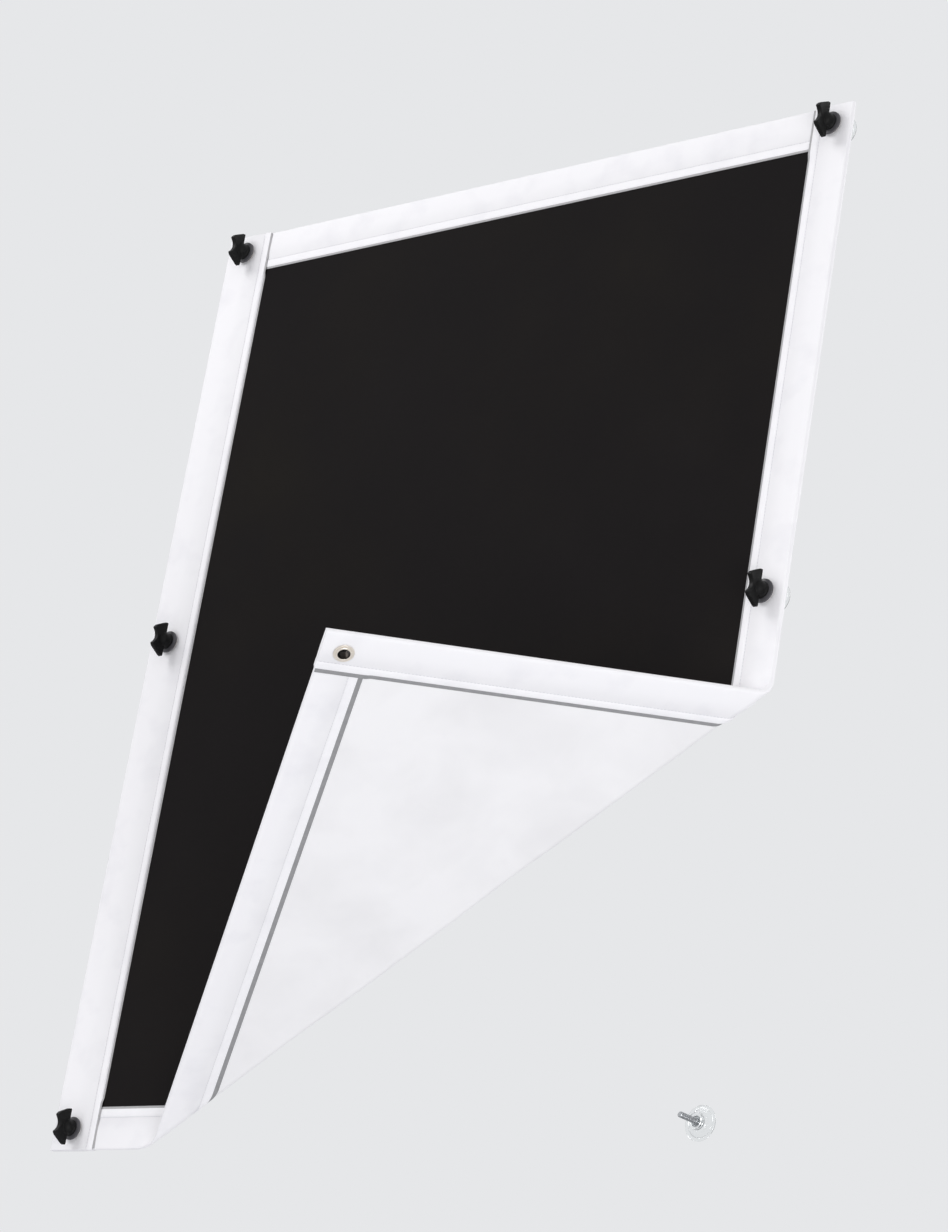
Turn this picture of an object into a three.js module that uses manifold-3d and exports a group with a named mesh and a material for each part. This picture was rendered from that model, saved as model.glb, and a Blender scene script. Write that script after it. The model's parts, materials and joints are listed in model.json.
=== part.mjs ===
// Blackout sheet blind: a flat sheet of blackout cloth with white edge bands, held by six suction
// cups. Each cup carries a threaded stud that passes an eyelet in the sheet, and a wing nut on a
// pressure washer clamps the sheet. The lower right corner is folded open, so its cup stands alone
// and its eyelet is bare.
//
// Millimetres. X to the right, Z up, Y towards the back. The cup rims stand on the plane y = 0, and
// the sheet hangs in front of it, at negative y. The origin is on that plane, behind the middle of
// the sheet.

import * as THREE from 'three';
import { mergeVertices } from 'three/addons/utils/BufferGeometryUtils.js';
import Module from 'manifold-3d';

const wasm = await Module();
wasm.setup();

// Sheet
const sheetWidth = 760;
const sheetHeight = 930;
const plyThickness = 0.5;
const plyGap = 0.3; // between the black face ply and the pale reverse ply
const fitGap = 0.3; // between pieces that lie on each other

// Edge bands, each folded round the edge of the sheet
const bandThickness = 0.5;
const leftBandWidth = 56;
const rightBandWidth = 41;
const endBandWidth = 38;
const sideBandCrown = 0.5; // how far the middle of a band swells out
const endBandCrown = 0.4;

// The corner that folds open. The fold runs from the bottom edge up to the right edge.
const foldFromLeft = 130; // its lower end, from the left edge
const foldUp = 381; // its upper end, from the bottom edge
const foldReach = 8.5; // half the width of cloth that bends
const foldAngleDeg = 102.5; // as it stands open, counted from closed and flat
const foldSteps = 6;

// Eyelets, at the middle of the bands
const eyeletBoreRadius = 5;
const eyeletBarrelWall = 0.5;
const eyeletFlangeRadius = 8.8;
const eyeletFlangeHeight = 1.1;
const eyeletLipRadius = 7;
const eyeletLipHeight = 0.5;
const eyeletWasherThickness = 0.6;
const leftMiddleAboveCentre = 32;
const rightMiddleAboveCentre = 6;

// Suction cups
const cupRadius = 15;
const cupRimWidth = 2.8;
const cupRimHeight = 1;
const cupCeiling = 3; // height of the hollow under the cup
const cupBellHeight = 5.6;
const cupNeckRadius = 7;
const cupFloor = 1; // clear plastic under the head of the stud
const cupRoof = 1.8; // clear plastic over the head of the stud
const cupChamfer = 0.5;

// Threaded studs
const studRadius = 2.5;
const studHeadRadius = 4.5;
const studHeadHeight = 2;
const studChamfer = 0.5;
const threadClearance = 0.3; // room that the thread takes up between stud and nut

// Pressure washers and wing nuts
const nutWasherRadius = 10.8;
const nutWasherThickness = 2.2;
const nutWasherRounding = 0.5;
const nutHeight = 19;
const nutFlangeRadius = 7.9;
const nutFlangeThickness = 2.2;
const nutFlangeRounding = 0.5;
const nutNeckRadius = 7.2;
const nutBoreDepth = 8.8;
const nutHubHeight = 11.6; // end of the hub's dome, between the wings
const nutCrownRise = 5.6; // height of the dome itself
const wingRootHeight = 4.4; // lower edge of the wings, over the foot of the nut
const wingSpan = 35.2; // between the lower corners, before they are rounded
const wingTipSpan = 18.6; // between the upper corners, before they are rounded
const wingValleyDepth = 4;
const wingThickness = 4.6;
const wingEdgeRounding = 0.6;
const wingCornerRounding = 2;
const studEndRoom = 1.1; // between the stud's end and the end of the nut's bore

// Facets
const ringSegments = 20;
const studSegments = 12;
const domeSegments = 5;
const noseSegments = 4;
const crownSegments = 4;
const cutOverrun = 2; // how far a cutter stands past what it cuts

// The stack through the sheet, from its middle plane outwards
const halfCore = plyThickness + plyGap / 2;
const endBandInner = halfCore + fitGap;
const endBandTip = endBandInner + bandThickness;
const sideBandInner = endBandTip + endBandCrown + fitGap;
const sideBandTip = sideBandInner + bandThickness;
const sideBandTop = sideBandTip + sideBandCrown;
const flangeFoot = sideBandTop + fitGap;
const flangeTop = flangeFoot + eyeletFlangeHeight;
const eyeletWasherFoot = flangeFoot + eyeletWasherThickness;
const lipFoot = eyeletWasherFoot + fitGap;
const lipTop = lipFoot + eyeletLipHeight;
const barrelRadius = eyeletBoreRadius + eyeletBarrelWall;
const clothHoleRadius = barrelRadius + fitGap;

// Heights in front of the plane that the cup rims stand on
const pocketFloor = cupCeiling + cupFloor;
const pocketRoof = pocketFloor + studHeadHeight + 2 * fitGap;
const cupShoulder = pocketRoof + cupRoof;
const sheetStandoff = cupShoulder + fitGap + lipTop;
const nutWasherFoot = sheetStandoff + flangeTop + fitGap;
const nutFoot = nutWasherFoot + nutWasherThickness + fitGap;
const studEnd = nutFoot + nutBoreDepth - studEndRoom;
const threadHoleRadius = studRadius + threadClearance;

// Places on the sheet
const halfWidth = sheetWidth / 2;
const halfHeight = sheetHeight / 2;
const leftEyeletX = leftBandWidth / 2 - halfWidth;
const rightEyeletX = halfWidth - rightBandWidth / 2;
const eyeletZ = halfHeight - endBandWidth / 2;
const places = [
  { name: 'top_left', x: leftEyeletX, z: eyeletZ },
  { name: 'top_right', x: rightEyeletX, z: eyeletZ },
  { name: 'middle_left', x: leftEyeletX, z: leftMiddleAboveCentre },
  { name: 'middle_right', x: rightEyeletX, z: rightMiddleAboveCentre },
  { name: 'bottom_left', x: leftEyeletX, z: -eyeletZ },
  { name: 'bottom_right', x: rightEyeletX, z: -eyeletZ, onCorner: true },
];

// The fold line, from the bottom edge up to the right edge. A place on the sheet is also given by u,
// its way along the line, and d, its distance across it, positive on the folded corner's side.
const foldStart = new THREE.Vector2(foldFromLeft - halfWidth, -halfHeight);
const foldEnd = new THREE.Vector2(halfWidth, foldUp - halfHeight);
const along = foldEnd.clone().sub(foldStart).normalize();
const across = new THREE.Vector2(along.y, -along.x);
const foldAngle = THREE.MathUtils.degToRad(foldAngleDeg);
const bendRadius = foldReach / Math.tan(foldAngle / 2);
const mainEdge = -foldReach - fitGap / 2; // where the flat part of the sheet is cut
const cornerEdge = foldReach + fitGap / 2;

const finishes = {
  blackCloth: { color: 0x1f1e1e, roughness: 0.85, metalness: 0 },
  paleCoating: { color: 0xefeef0, roughness: 0.6, metalness: 0 },
  whiteBand: { color: 0xf3f2f6, roughness: 0.7, metalness: 0 },
  nickel: { color: 0xc9c6bd, roughness: 0.3, metalness: 1 },
  clearPlastic: { color: 0xe9eef0, roughness: 0.1, metalness: 0, transparent: true, opacity: 0.35 },
  steel: { color: 0x9a9c9e, roughness: 0.35, metalness: 1 },
  blackPlastic: { color: 0x141414, roughness: 0.45, metalness: 0 },
  greyPlastic: { color: 0x2c2c2e, roughness: 0.4, metalness: 0 },
};

function piece(name, geometry, finish) {
  const mesh = new THREE.Mesh(geometry, new THREE.MeshStandardMaterial(finishes[finish]));
  mesh.name = name;
  return mesh;
}

// Position-only copy of a geometry with shared vertices and no triangles that have shrunk to a line.
function merged(geometry) {
  const bare = new THREE.BufferGeometry();
  bare.setAttribute('position', geometry.getAttribute('position').clone());
  if (geometry.index) bare.setIndex(geometry.index.clone());
  const joined = mergeVertices(bare);
  const kept = [];
  for (let i = 0; i < joined.index.count; i += 3) {
    const [a, b, c] = [joined.index.getX(i), joined.index.getX(i + 1), joined.index.getX(i + 2)];
    if (a !== b && b !== c && c !== a) kept.push(a, b, c);
  }
  joined.setIndex(kept);
  return joined;
}

// Six times the enclosed volume: negative where the faces point inwards.
function signedVolume(geometry) {
  const position = geometry.getAttribute('position');
  const [a, b, c] = [new THREE.Vector3(), new THREE.Vector3(), new THREE.Vector3()];
  let sum = 0;
  for (let i = 0; i < geometry.index.count; i += 3) {
    a.fromBufferAttribute(position, geometry.index.getX(i));
    b.fromBufferAttribute(position, geometry.index.getX(i + 1));
    c.fromBufferAttribute(position, geometry.index.getX(i + 2));
    sum += a.dot(b.cross(c));
  }
  return sum;
}

function facingOut(geometry) {
  const body = merged(geometry);
  if (signedVolume(body) < 0) body.setIndex(Array.from(body.index.array).reverse());
  body.computeVertexNormals();
  return body;
}

function toSolid(geometry) {
  const body = facingOut(geometry);
  return new wasm.Manifold(new wasm.Mesh({
    numProp: 3,
    vertProperties: new Float32Array(body.getAttribute('position').array),
    triVerts: new Uint32Array(body.index.array),
  }));
}

function toGeometry(solid) {
  const { numProp, vertProperties, triVerts } = solid.getMesh();
  const positions = [];
  for (let i = 0; i < vertProperties.length; i += numProp) {
    positions.push(...vertProperties.subarray(i, i + 3));
  }
  const geometry = new THREE.BufferGeometry();
  geometry.setAttribute('position', new THREE.Float32BufferAttribute(positions, 3));
  geometry.setIndex(Array.from(triVerts));
  geometry.computeVertexNormals();
  return geometry;
}

// A solid of revolution. The profile's points are [radius, height], and the height is turned to face
// the front: height 0 is the plane y = 0.
function revolved(profile, segments = ringSegments) {
  const points = profile.map(([radius, height]) => new THREE.Vector2(radius, height));
  return facingOut(new THREE.LatheGeometry(points, segments)).rotateX(Math.PI);
}

// Points of an ellipse's arc in a profile, the first angle and the last included.
function arc(radius, height, radialReach, heightReach, from, to, steps) {
  return Array.from({ length: steps + 1 }, (_, i) => {
    const angle = from + (to - from) * i / steps;
    return [radius + radialReach * Math.cos(angle), height + heightReach * Math.sin(angle)];
  });
}

// A closed body through rings of points that lie in step with each other, capped at both ends.
// The profile holds the ring's points in two dimensions, for the caps.
function lofted(rings, profile) {
  const count = profile.length;
  const positions = rings.flat().flatMap((p) => [p.x, p.y, p.z]);
  const faces = [];
  for (let r = 0; r + 1 < rings.length; r += 1) {
    for (let i = 0; i < count; i += 1) {
      const j = (i + 1) % count;
      const [a, b, c, d] = [r * count + i, r * count + j, (r + 1) * count + j, (r + 1) * count + i];
      faces.push(a, b, c, a, c, d);
    }
  }
  const outline = profile.map(([w, n]) => new THREE.Vector2(w, n));
  const last = (rings.length - 1) * count;
  const turn = THREE.ShapeUtils.isClockWise(outline) ? 1 : -1;
  for (const [a, b, c] of THREE.ShapeUtils.triangulateShape(outline, [])) {
    faces.push(...(turn > 0 ? [a, b, c] : [a, c, b]));
    faces.push(...(turn > 0 ? [last + a, last + c, last + b] : [last + a, last + b, last + c]));
  }
  const geometry = new THREE.BufferGeometry();
  geometry.setAttribute('position', new THREE.Float32BufferAttribute(positions, 3));
  geometry.setIndex(faces);
  return facingOut(geometry);
}

// A place on the flat sheet: x and z on the sheet, n its height over the sheet's middle plane,
// towards the front.
const onSheet = (x, z, n) => new THREE.Vector3(x, -(sheetStandoff + n), z);

// The same for a place in the bend, from u, d and n. The cloth follows an arc that leaves the flat
// sheet and meets the turned corner without a kink.
function inBend(u, d, n) {
  const angle = foldAngle * (d + foldReach) / (2 * foldReach);
  const turned = -foldReach + (bendRadius - n) * Math.sin(angle);
  const height = bendRadius - (bendRadius - n) * Math.cos(angle);
  return onSheet(
    foldStart.x + along.x * u + across.x * turned,
    foldStart.y + along.y * u + across.y * turned,
    height,
  );
}

const bendStations = Array.from({ length: foldSteps + 1 },
  (_, i) => (foldReach - fitGap / 2) * (2 * i / foldSteps - 1));

// Where a line of constant x, or of constant z, is at distance d across the fold line.
const zAt = (x, d) => foldStart.y + (d - (x - foldStart.x) * across.x) / across.y;
const xAt = (z, d) => foldStart.x + (d - (z - foldStart.y) * across.y) / across.x;
const uOf = (x, z) => (x - foldStart.x) * along.x + (z - foldStart.y) * along.y;

// Section of an edge band: [w, n] with w measured inwards from the edge of the sheet. Two crowned
// legs lie on the two faces of the sheet, joined by a round nose at the edge.
function bandSection(width, inner, tip, crown) {
  const outer = [];
  for (let i = 0; i < crownSegments; i += 1) {
    const w = width + (tip - width) * i / crownSegments;
    outer.push([w, tip + crown * Math.sin(Math.PI * (width - w) / (width - tip))]);
  }
  const nose = Array.from({ length: noseSegments + 1 }, (_, i) => {
    const angle = Math.PI / 2 - Math.PI * i / noseSegments;
    return [tip - tip * Math.cos(angle), tip * Math.sin(angle)];
  });
  const innerNose = Array.from({ length: noseSegments + 1 }, (_, i) => {
    const angle = -Math.PI / 2 + Math.PI * i / noseSegments;
    return [tip - inner * Math.cos(angle), inner * Math.sin(angle)];
  });
  const underside = outer.map(([w, n]) => [w, -n]).reverse();
  return [...outer, ...nose, ...underside, [width, -inner], ...innerNose, [width, inner]];
}

const leftSection = bandSection(leftBandWidth, sideBandInner, sideBandTip, sideBandCrown);
const rightSection = bandSection(rightBandWidth, sideBandInner, sideBandTip, sideBandCrown);
const endSection = bandSection(endBandWidth, endBandInner, endBandTip, endBandCrown);

// Rings of the side bands. z is a number or follows from x.
const leftRing = (z) => leftSection.map(([w, n]) => onSheet(w - halfWidth, z, n));
const rightRing = (z) => rightSection.map(([w, n]) => {
  const x = halfWidth - w;
  return onSheet(x, typeof z === 'function' ? z(x) : z, n);
});

// Rings of an end band at sign -1 (bottom) or 1 (top).
const endRing = (sign, x) => endSection.map(([w, n]) => {
  const z = sign * (halfHeight - w);
  return onSheet(typeof x === 'function' ? x(z) : x, z, n);
});

// Cloth is punched where its eyelets pass.
function punched(geometry, eyelets) {
  const reach = sideBandTop + cutOverrun;
  let solid = toSolid(geometry);
  for (const { x, z } of eyelets) {
    const punch = new THREE.CylinderGeometry(clothHoleRadius, clothHoleRadius, 2 * reach, ringSegments);
    solid = solid.subtract(toSolid(punch.translate(x, -sheetStandoff, z)));
  }
  return toGeometry(solid);
}

const bodyEyelets = places.filter((place) => !place.onCorner);
const cornerEyelets = places.filter((place) => place.onCorner);
const onLeft = (place) => place.x < 0;
const onRight = (place) => place.x > 0;
const onTop = (place) => place.z === eyeletZ;
const onBottom = (place) => place.z === -eyeletZ;

const plyRight = halfWidth - sideBandTip;
const plyTop = halfHeight - endBandTip;

// One ply from its outline on the sheet, with n from its lower face.
function ply(corners, lower) {
  const outline = new THREE.Shape(corners.map(([x, z]) => new THREE.Vector2(x, z)));
  const slab = new THREE.ExtrudeGeometry(outline, { depth: plyThickness, bevelEnabled: false });
  return slab.rotateX(Math.PI / 2).translate(0, -(sheetStandoff + lower), 0);
}

const mainOutline = [
  [-plyRight, plyTop],
  [plyRight, plyTop],
  [plyRight, zAt(plyRight, mainEdge)],
  [xAt(-plyTop, mainEdge), -plyTop],
  [-plyRight, -plyTop],
];
const cornerOutline = [
  [plyRight, zAt(plyRight, cornerEdge)],
  [plyRight, -plyTop],
  [xAt(-plyTop, cornerEdge), -plyTop],
];

// The strip of a ply that bends round the fold.
function plyCrease(lower) {
  const upper = lower + plyThickness;
  const rings = bendStations.map((d) => {
    const low = uOf(xAt(-plyTop, d), -plyTop);
    const high = uOf(plyRight, zAt(plyRight, d));
    return [inBend(low, d, lower), inBend(high, d, lower), inBend(high, d, upper), inBend(low, d, upper)];
  });
  return lofted(rings, [[0, 0], [1, 0], [1, 1], [0, 1]]);
}

const rightCreaseRings = bendStations.map((d) => rightSection.map(([w, n]) => {
  const x = halfWidth - w;
  return inBend(uOf(x, zAt(x, d)), d, n);
}));
const bottomCreaseRings = bendStations.map((d) => endSection.map(([w, n]) => {
  const z = w - halfHeight;
  return inBend(uOf(xAt(z, d), z), d, n);
}));

const faceFoot = plyGap / 2;
const reverseFoot = -halfCore;
const bandEnd = halfWidth - sideBandTip; // the end bands stop inside the side bands

function sheetPieces() {
  const top = lofted([endRing(1, -bandEnd), endRing(1, bandEnd)], endSection);
  const left = lofted([leftRing(-halfHeight), leftRing(halfHeight)], leftSection);
  const right = lofted([rightRing((x) => zAt(x, mainEdge)), rightRing(halfHeight)], rightSection);
  const bottom = lofted([endRing(-1, -bandEnd), endRing(-1, (z) => xAt(z, mainEdge))], endSection);
  return [
    piece('face_ply', punched(ply(mainOutline, faceFoot), bodyEyelets), 'blackCloth'),
    piece('reverse_ply', punched(ply(mainOutline, reverseFoot), bodyEyelets), 'paleCoating'),
    piece('band_top', punched(top, bodyEyelets.filter(onTop)), 'whiteBand'),
    piece('band_left', punched(left, bodyEyelets.filter(onLeft)), 'whiteBand'),
    piece('band_right', punched(right, bodyEyelets.filter(onRight)), 'whiteBand'),
    piece('band_bottom', punched(bottom, bodyEyelets.filter(onBottom)), 'whiteBand'),
    piece('face_ply_crease', plyCrease(faceFoot), 'blackCloth'),
    piece('reverse_ply_crease', plyCrease(reverseFoot), 'paleCoating'),
    piece('band_right_crease', lofted(rightCreaseRings, rightSection), 'whiteBand'),
    piece('band_bottom_crease', lofted(bottomCreaseRings, endSection), 'whiteBand'),
  ];
}

function cornerPieces() {
  const right = lofted([rightRing(-halfHeight), rightRing((x) => zAt(x, cornerEdge))], rightSection);
  const bottom = lofted([endRing(-1, (z) => xAt(z, cornerEdge)), endRing(-1, bandEnd)], endSection);
  return [
    piece('face_ply_corner', punched(ply(cornerOutline, faceFoot), cornerEyelets), 'blackCloth'),
    piece('reverse_ply_corner', punched(ply(cornerOutline, reverseFoot), cornerEyelets), 'paleCoating'),
    piece('band_right_corner', punched(right, cornerEyelets), 'whiteBand'),
    piece('band_bottom_corner', punched(bottom, cornerEyelets), 'whiteBand'),
  ];
}

// Eyelet: a domed flange in front, a barrel through the cloth, and a lip rolled over the washer at the
// back.
function eyeletGeometry() {
  const flangeMiddle = (eyeletBoreRadius + eyeletFlangeRadius) / 2;
  const flangeHalf = (eyeletFlangeRadius - eyeletBoreRadius) / 2;
  const lipMiddle = (eyeletBoreRadius + eyeletLipRadius) / 2;
  const lipHalf = (eyeletLipRadius - eyeletBoreRadius) / 2;
  const front = sheetStandoff + flangeFoot;
  const back = sheetStandoff - lipFoot;
  const flange = arc(flangeMiddle, front, flangeHalf, eyeletFlangeHeight, 0, Math.PI, domeSegments);
  const lip = arc(lipMiddle, back, lipHalf, -eyeletLipHeight, Math.PI, 0, domeSegments - 2);
  return revolved([[barrelRadius, front], ...flange, ...lip, [barrelRadius, back], [barrelRadius, front]]);
}

function eyeletWasherGeometry() {
  const foot = sheetStandoff - flangeFoot;
  const top = sheetStandoff - eyeletWasherFoot;
  const rounding = eyeletWasherThickness / 2;
  return revolved([
    [clothHoleRadius, foot],
    [eyeletFlangeRadius, foot],
    [eyeletFlangeRadius, foot - rounding],
    [eyeletFlangeRadius - rounding, top],
    [clothHoleRadius, top],
    [clothHoleRadius, foot],
  ]);
}

// Suction cup: a thin bell, flat at its rim, and a neck with a pocket that holds the head of the stud.
function cupGeometry() {
  const pocketRadius = studHeadRadius + fitGap;
  const shankRadius = studRadius + fitGap;
  const bellRadius = cupRadius - cupNeckRadius;
  const bellRise = cupBellHeight - cupRimHeight;
  const rimInner = cupRadius - cupRimWidth;
  return revolved([
    ...arc(0, 0, rimInner, cupCeiling, Math.PI / 2, 0, domeSegments - 1),
    [cupRadius, 0],
    ...arc(cupRadius, cupBellHeight, -bellRadius, -bellRise, Math.PI / 2, 0, domeSegments - 1),
    [cupNeckRadius, cupShoulder - cupChamfer],
    [cupNeckRadius - cupChamfer, cupShoulder],
    [shankRadius, cupShoulder],
    [shankRadius, pocketRoof],
    [pocketRadius, pocketRoof],
    [pocketRadius, pocketFloor],
    [0, pocketFloor],
  ]);
}

function studGeometry() {
  const headFoot = pocketFloor + fitGap;
  const headTop = headFoot + studHeadHeight;
  return revolved([
    [0, headFoot],
    [studHeadRadius, headFoot],
    [studHeadRadius, headTop],
    [studRadius, headTop],
    [studRadius, studEnd - studChamfer],
    [studRadius - studChamfer, studEnd],
    [0, studEnd],
  ], studSegments);
}

function nutWasherGeometry() {
  const top = nutWasherFoot + nutWasherThickness;
  const edge = nutWasherRadius - nutWasherRounding;
  return revolved([
    [threadHoleRadius, nutWasherFoot],
    [edge, nutWasherFoot],
    [nutWasherRadius, nutWasherFoot + nutWasherRounding],
    [nutWasherRadius, top - nutWasherRounding],
    [edge, top],
    [threadHoleRadius, top],
    [threadHoleRadius, nutWasherFoot],
  ]);
}

// Outline of both wings in one, [across the nut, height over its foot]: wide low corners, edges that
// lean in to the upper corners, and a shallow valley between these.
function wingOutline() {
  const low = wingRootHeight;
  const [corner, tip] = [wingSpan / 2, wingTipSpan / 2];
  const lean = new THREE.Vector2(tip - corner, nutHeight - low).setLength(wingCornerRounding);
  const valley = nutHeight - 2 * wingValleyDepth;
  const shape = new THREE.Shape();
  shape.moveTo(0, low);
  shape.lineTo(corner - wingCornerRounding, low);
  shape.quadraticCurveTo(corner, low, corner + lean.x, low + lean.y);
  shape.lineTo(tip - lean.x, nutHeight - lean.y);
  shape.quadraticCurveTo(tip, nutHeight, tip - wingCornerRounding, nutHeight - wingEdgeRounding);
  shape.quadraticCurveTo(0, valley, -tip + wingCornerRounding, nutHeight - wingEdgeRounding);
  shape.quadraticCurveTo(-tip, nutHeight, -tip + lean.x, nutHeight - lean.y);
  shape.lineTo(-corner - lean.x, low + lean.y);
  shape.quadraticCurveTo(-corner, low, -corner + wingCornerRounding, low);
  return shape;
}

// Wing nut: a round foot, a domed hub and two fan-shaped wings that run along the sheet's side edge.
function wingNutGeometry() {
  const footEdge = nutFlangeRadius - nutFlangeRounding;
  const hub = revolved([
    [0, nutFoot],
    [footEdge, nutFoot],
    [nutFlangeRadius, nutFoot + nutFlangeRounding],
    [nutFlangeRadius, nutFoot + nutFlangeThickness - nutFlangeRounding],
    [footEdge, nutFoot + nutFlangeThickness],
    [nutNeckRadius, nutFoot + nutFlangeThickness],
    ...arc(0, nutFoot + nutHubHeight - nutCrownRise, nutNeckRadius, nutCrownRise, 0, Math.PI / 2, domeSegments),
  ]);
  const flat = wingThickness - 2 * wingEdgeRounding;
  const plate = new THREE.ExtrudeGeometry(wingOutline(), {
    depth: flat,
    curveSegments: domeSegments - 1,
    bevelEnabled: true,
    bevelThickness: wingEdgeRounding,
    bevelSize: wingEdgeRounding,
    bevelOffset: -wingEdgeRounding,
    bevelSegments: 1,
  });
  plate.translate(0, nutFoot, -flat / 2).rotateY(Math.PI / 2).rotateX(Math.PI);
  const bore = revolved([
    [0, nutFoot - cutOverrun],
    [threadHoleRadius, nutFoot - cutOverrun],
    [threadHoleRadius, nutFoot + nutBoreDepth],
    [0, nutFoot + nutBoreDepth],
  ], studSegments);
  return toGeometry(toSolid(hub).add(toSolid(plate)).subtract(toSolid(bore)));
}

function at(place, mesh) {
  mesh.position.set(place.x, 0, place.z);
  return mesh;
}

function fixing(place) {
  const pieces = [
    piece(`suction_cup_${place.name}`, cupGeometry(), 'clearPlastic'),
    piece(`stud_${place.name}`, studGeometry(), 'steel'),
  ];
  if (!place.onCorner) {
    pieces.push(piece(`nut_washer_${place.name}`, nutWasherGeometry(), 'greyPlastic'));
    pieces.push(piece(`wing_nut_${place.name}`, wingNutGeometry(), 'blackPlastic'));
  }
  return pieces.map((mesh) => at(place, mesh));
}

const eyelet = (place) => [
  at(place, piece(`eyelet_${place.name}`, eyeletGeometry(), 'nickel')),
  at(place, piece(`eyelet_washer_${place.name}`, eyeletWasherGeometry(), 'nickel')),
];

const blind = new THREE.Group();
blind.add(...sheetPieces());
blind.add(...bodyEyelets.flatMap(eyelet));
blind.add(...places.flatMap(fixing));

// The corner is made closed and flat, and turned open about the fold line.
const hinge = new THREE.Group();
const openAxis = new THREE.Vector3(-along.x, 0, -along.y);
const pivot = onSheet(foldEnd.x, foldEnd.y, 0);
hinge.position.copy(pivot);
hinge.quaternion.setFromAxisAngle(openAxis, foldAngle);
const corner = new THREE.Group();
corner.position.copy(pivot).negate();
corner.add(...cornerPieces(), ...cornerEyelets.flatMap(eyelet));
hinge.add(corner);
blind.add(hinge);

export default blind;
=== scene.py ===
# %% [markdown]
# A blackout sheet blind, dressed from its CAD model
#
# The real object is a flat sheet of blackout cloth, black in front and pale at the back, with white
# bands sewn round its edges. Six clear suction cups carry threaded studs, which pass eyelets in the
# sheet. Wing nuts clamp it on five of them, and the corner at the sixth is folded open. The packed
# model gives every place and size, so nothing has to be fitted by eye. This script adds the look:
# cloth, thread, metal and plastic, each made in real millimetres.

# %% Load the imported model
import json
import math

import bmesh
import bpy
import numpy as np
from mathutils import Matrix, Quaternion, Vector


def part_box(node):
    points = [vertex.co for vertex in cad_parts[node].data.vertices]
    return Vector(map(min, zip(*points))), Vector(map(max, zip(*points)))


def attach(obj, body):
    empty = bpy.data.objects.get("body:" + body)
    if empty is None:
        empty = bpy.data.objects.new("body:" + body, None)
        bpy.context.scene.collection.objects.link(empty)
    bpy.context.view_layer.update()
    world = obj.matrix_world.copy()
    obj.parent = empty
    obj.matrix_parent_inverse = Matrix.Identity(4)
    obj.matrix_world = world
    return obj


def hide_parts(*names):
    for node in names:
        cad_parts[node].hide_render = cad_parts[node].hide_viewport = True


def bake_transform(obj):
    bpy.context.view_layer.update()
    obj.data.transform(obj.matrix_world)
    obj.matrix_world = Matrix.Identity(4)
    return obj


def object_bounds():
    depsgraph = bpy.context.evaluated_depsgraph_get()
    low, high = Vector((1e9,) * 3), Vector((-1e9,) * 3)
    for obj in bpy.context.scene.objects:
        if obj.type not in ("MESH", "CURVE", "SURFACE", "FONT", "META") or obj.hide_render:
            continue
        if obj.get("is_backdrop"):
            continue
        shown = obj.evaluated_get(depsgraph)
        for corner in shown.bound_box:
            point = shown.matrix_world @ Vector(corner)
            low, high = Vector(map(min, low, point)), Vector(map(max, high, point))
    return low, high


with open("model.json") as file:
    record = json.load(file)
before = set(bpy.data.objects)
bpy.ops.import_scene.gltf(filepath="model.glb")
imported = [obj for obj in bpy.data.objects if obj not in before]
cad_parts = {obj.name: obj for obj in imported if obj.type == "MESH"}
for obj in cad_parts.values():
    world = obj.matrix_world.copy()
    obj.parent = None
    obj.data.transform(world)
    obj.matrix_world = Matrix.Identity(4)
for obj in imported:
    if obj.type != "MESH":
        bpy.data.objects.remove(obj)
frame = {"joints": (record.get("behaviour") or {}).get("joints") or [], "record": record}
cad_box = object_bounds()
MM = 0.001
carrier = {}
for body, members in frame["record"]["behaviour"]["bodies"].items():
    for member in members:
        carrier[member] = body
print("pieces in the packed model:", len(carrier))

# %% [markdown]
# The camera
#
# The photograph was taken from below and from the right, with the camera leant over a little. A
# camera could be placed by trial, but the four corners of a flat rectangle give its place and focal
# length by calculation. The numbers below are the answer: the point it looks at, how far away it
# stands, three angles, and the focal length as a multiple of the picture's height, its long side.

# %% Camera
AIM = Vector((0.0328, -0.0136, 0.0201))
CAMERA_DISTANCE = 3.4437
CAMERA_AZIMUTH = math.radians(43.17)
CAMERA_ELEVATION = math.radians(-19.15)
CAMERA_LEAN = math.radians(9.68)
FOCAL_HEIGHTS = 3.1289
SENSOR = 36.0


def linked(name, data):
    obj = bpy.data.objects.new(name, data)
    bpy.context.scene.collection.objects.link(obj)
    return obj


towards_camera = Vector((
    math.sin(CAMERA_AZIMUTH) * math.cos(CAMERA_ELEVATION),
    -math.cos(CAMERA_AZIMUTH) * math.cos(CAMERA_ELEVATION),
    math.sin(CAMERA_ELEVATION),
))
lens = bpy.data.cameras.new("photo_camera")
lens.sensor_width = SENSOR
lens.lens = FOCAL_HEIGHTS * SENSOR
lens.clip_end = 60
camera = linked("photo_camera", lens)
camera.rotation_mode = "QUATERNION"
level = (-towards_camera).to_track_quat("-Z", "Y")
camera.rotation_quaternion = level @ Quaternion((0, 0, 1), CAMERA_LEAN)
camera.location = AIM + CAMERA_DISTANCE * towards_camera
bpy.context.scene.camera = camera
print("camera stands at", [round(x, 4) for x in camera.location])

# %% [markdown]
# Colours and nodes
#
# A colour picked on a screen is stored in a curved scale, and shaders count in a straight one, so
# tint() turns a hex colour into shader numbers. feed() fills a node's sockets with values or links;
# a node given as a value stands for its first output. adder() gives a tree its own add(), which
# makes a node with its options and sockets. They serve materials and Geometry Nodes alike, so every
# tree below reads as a list of what flows into what. A finish starts with the place its patterns
# follow: the object itself, or the flat map of the cloth.

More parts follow.
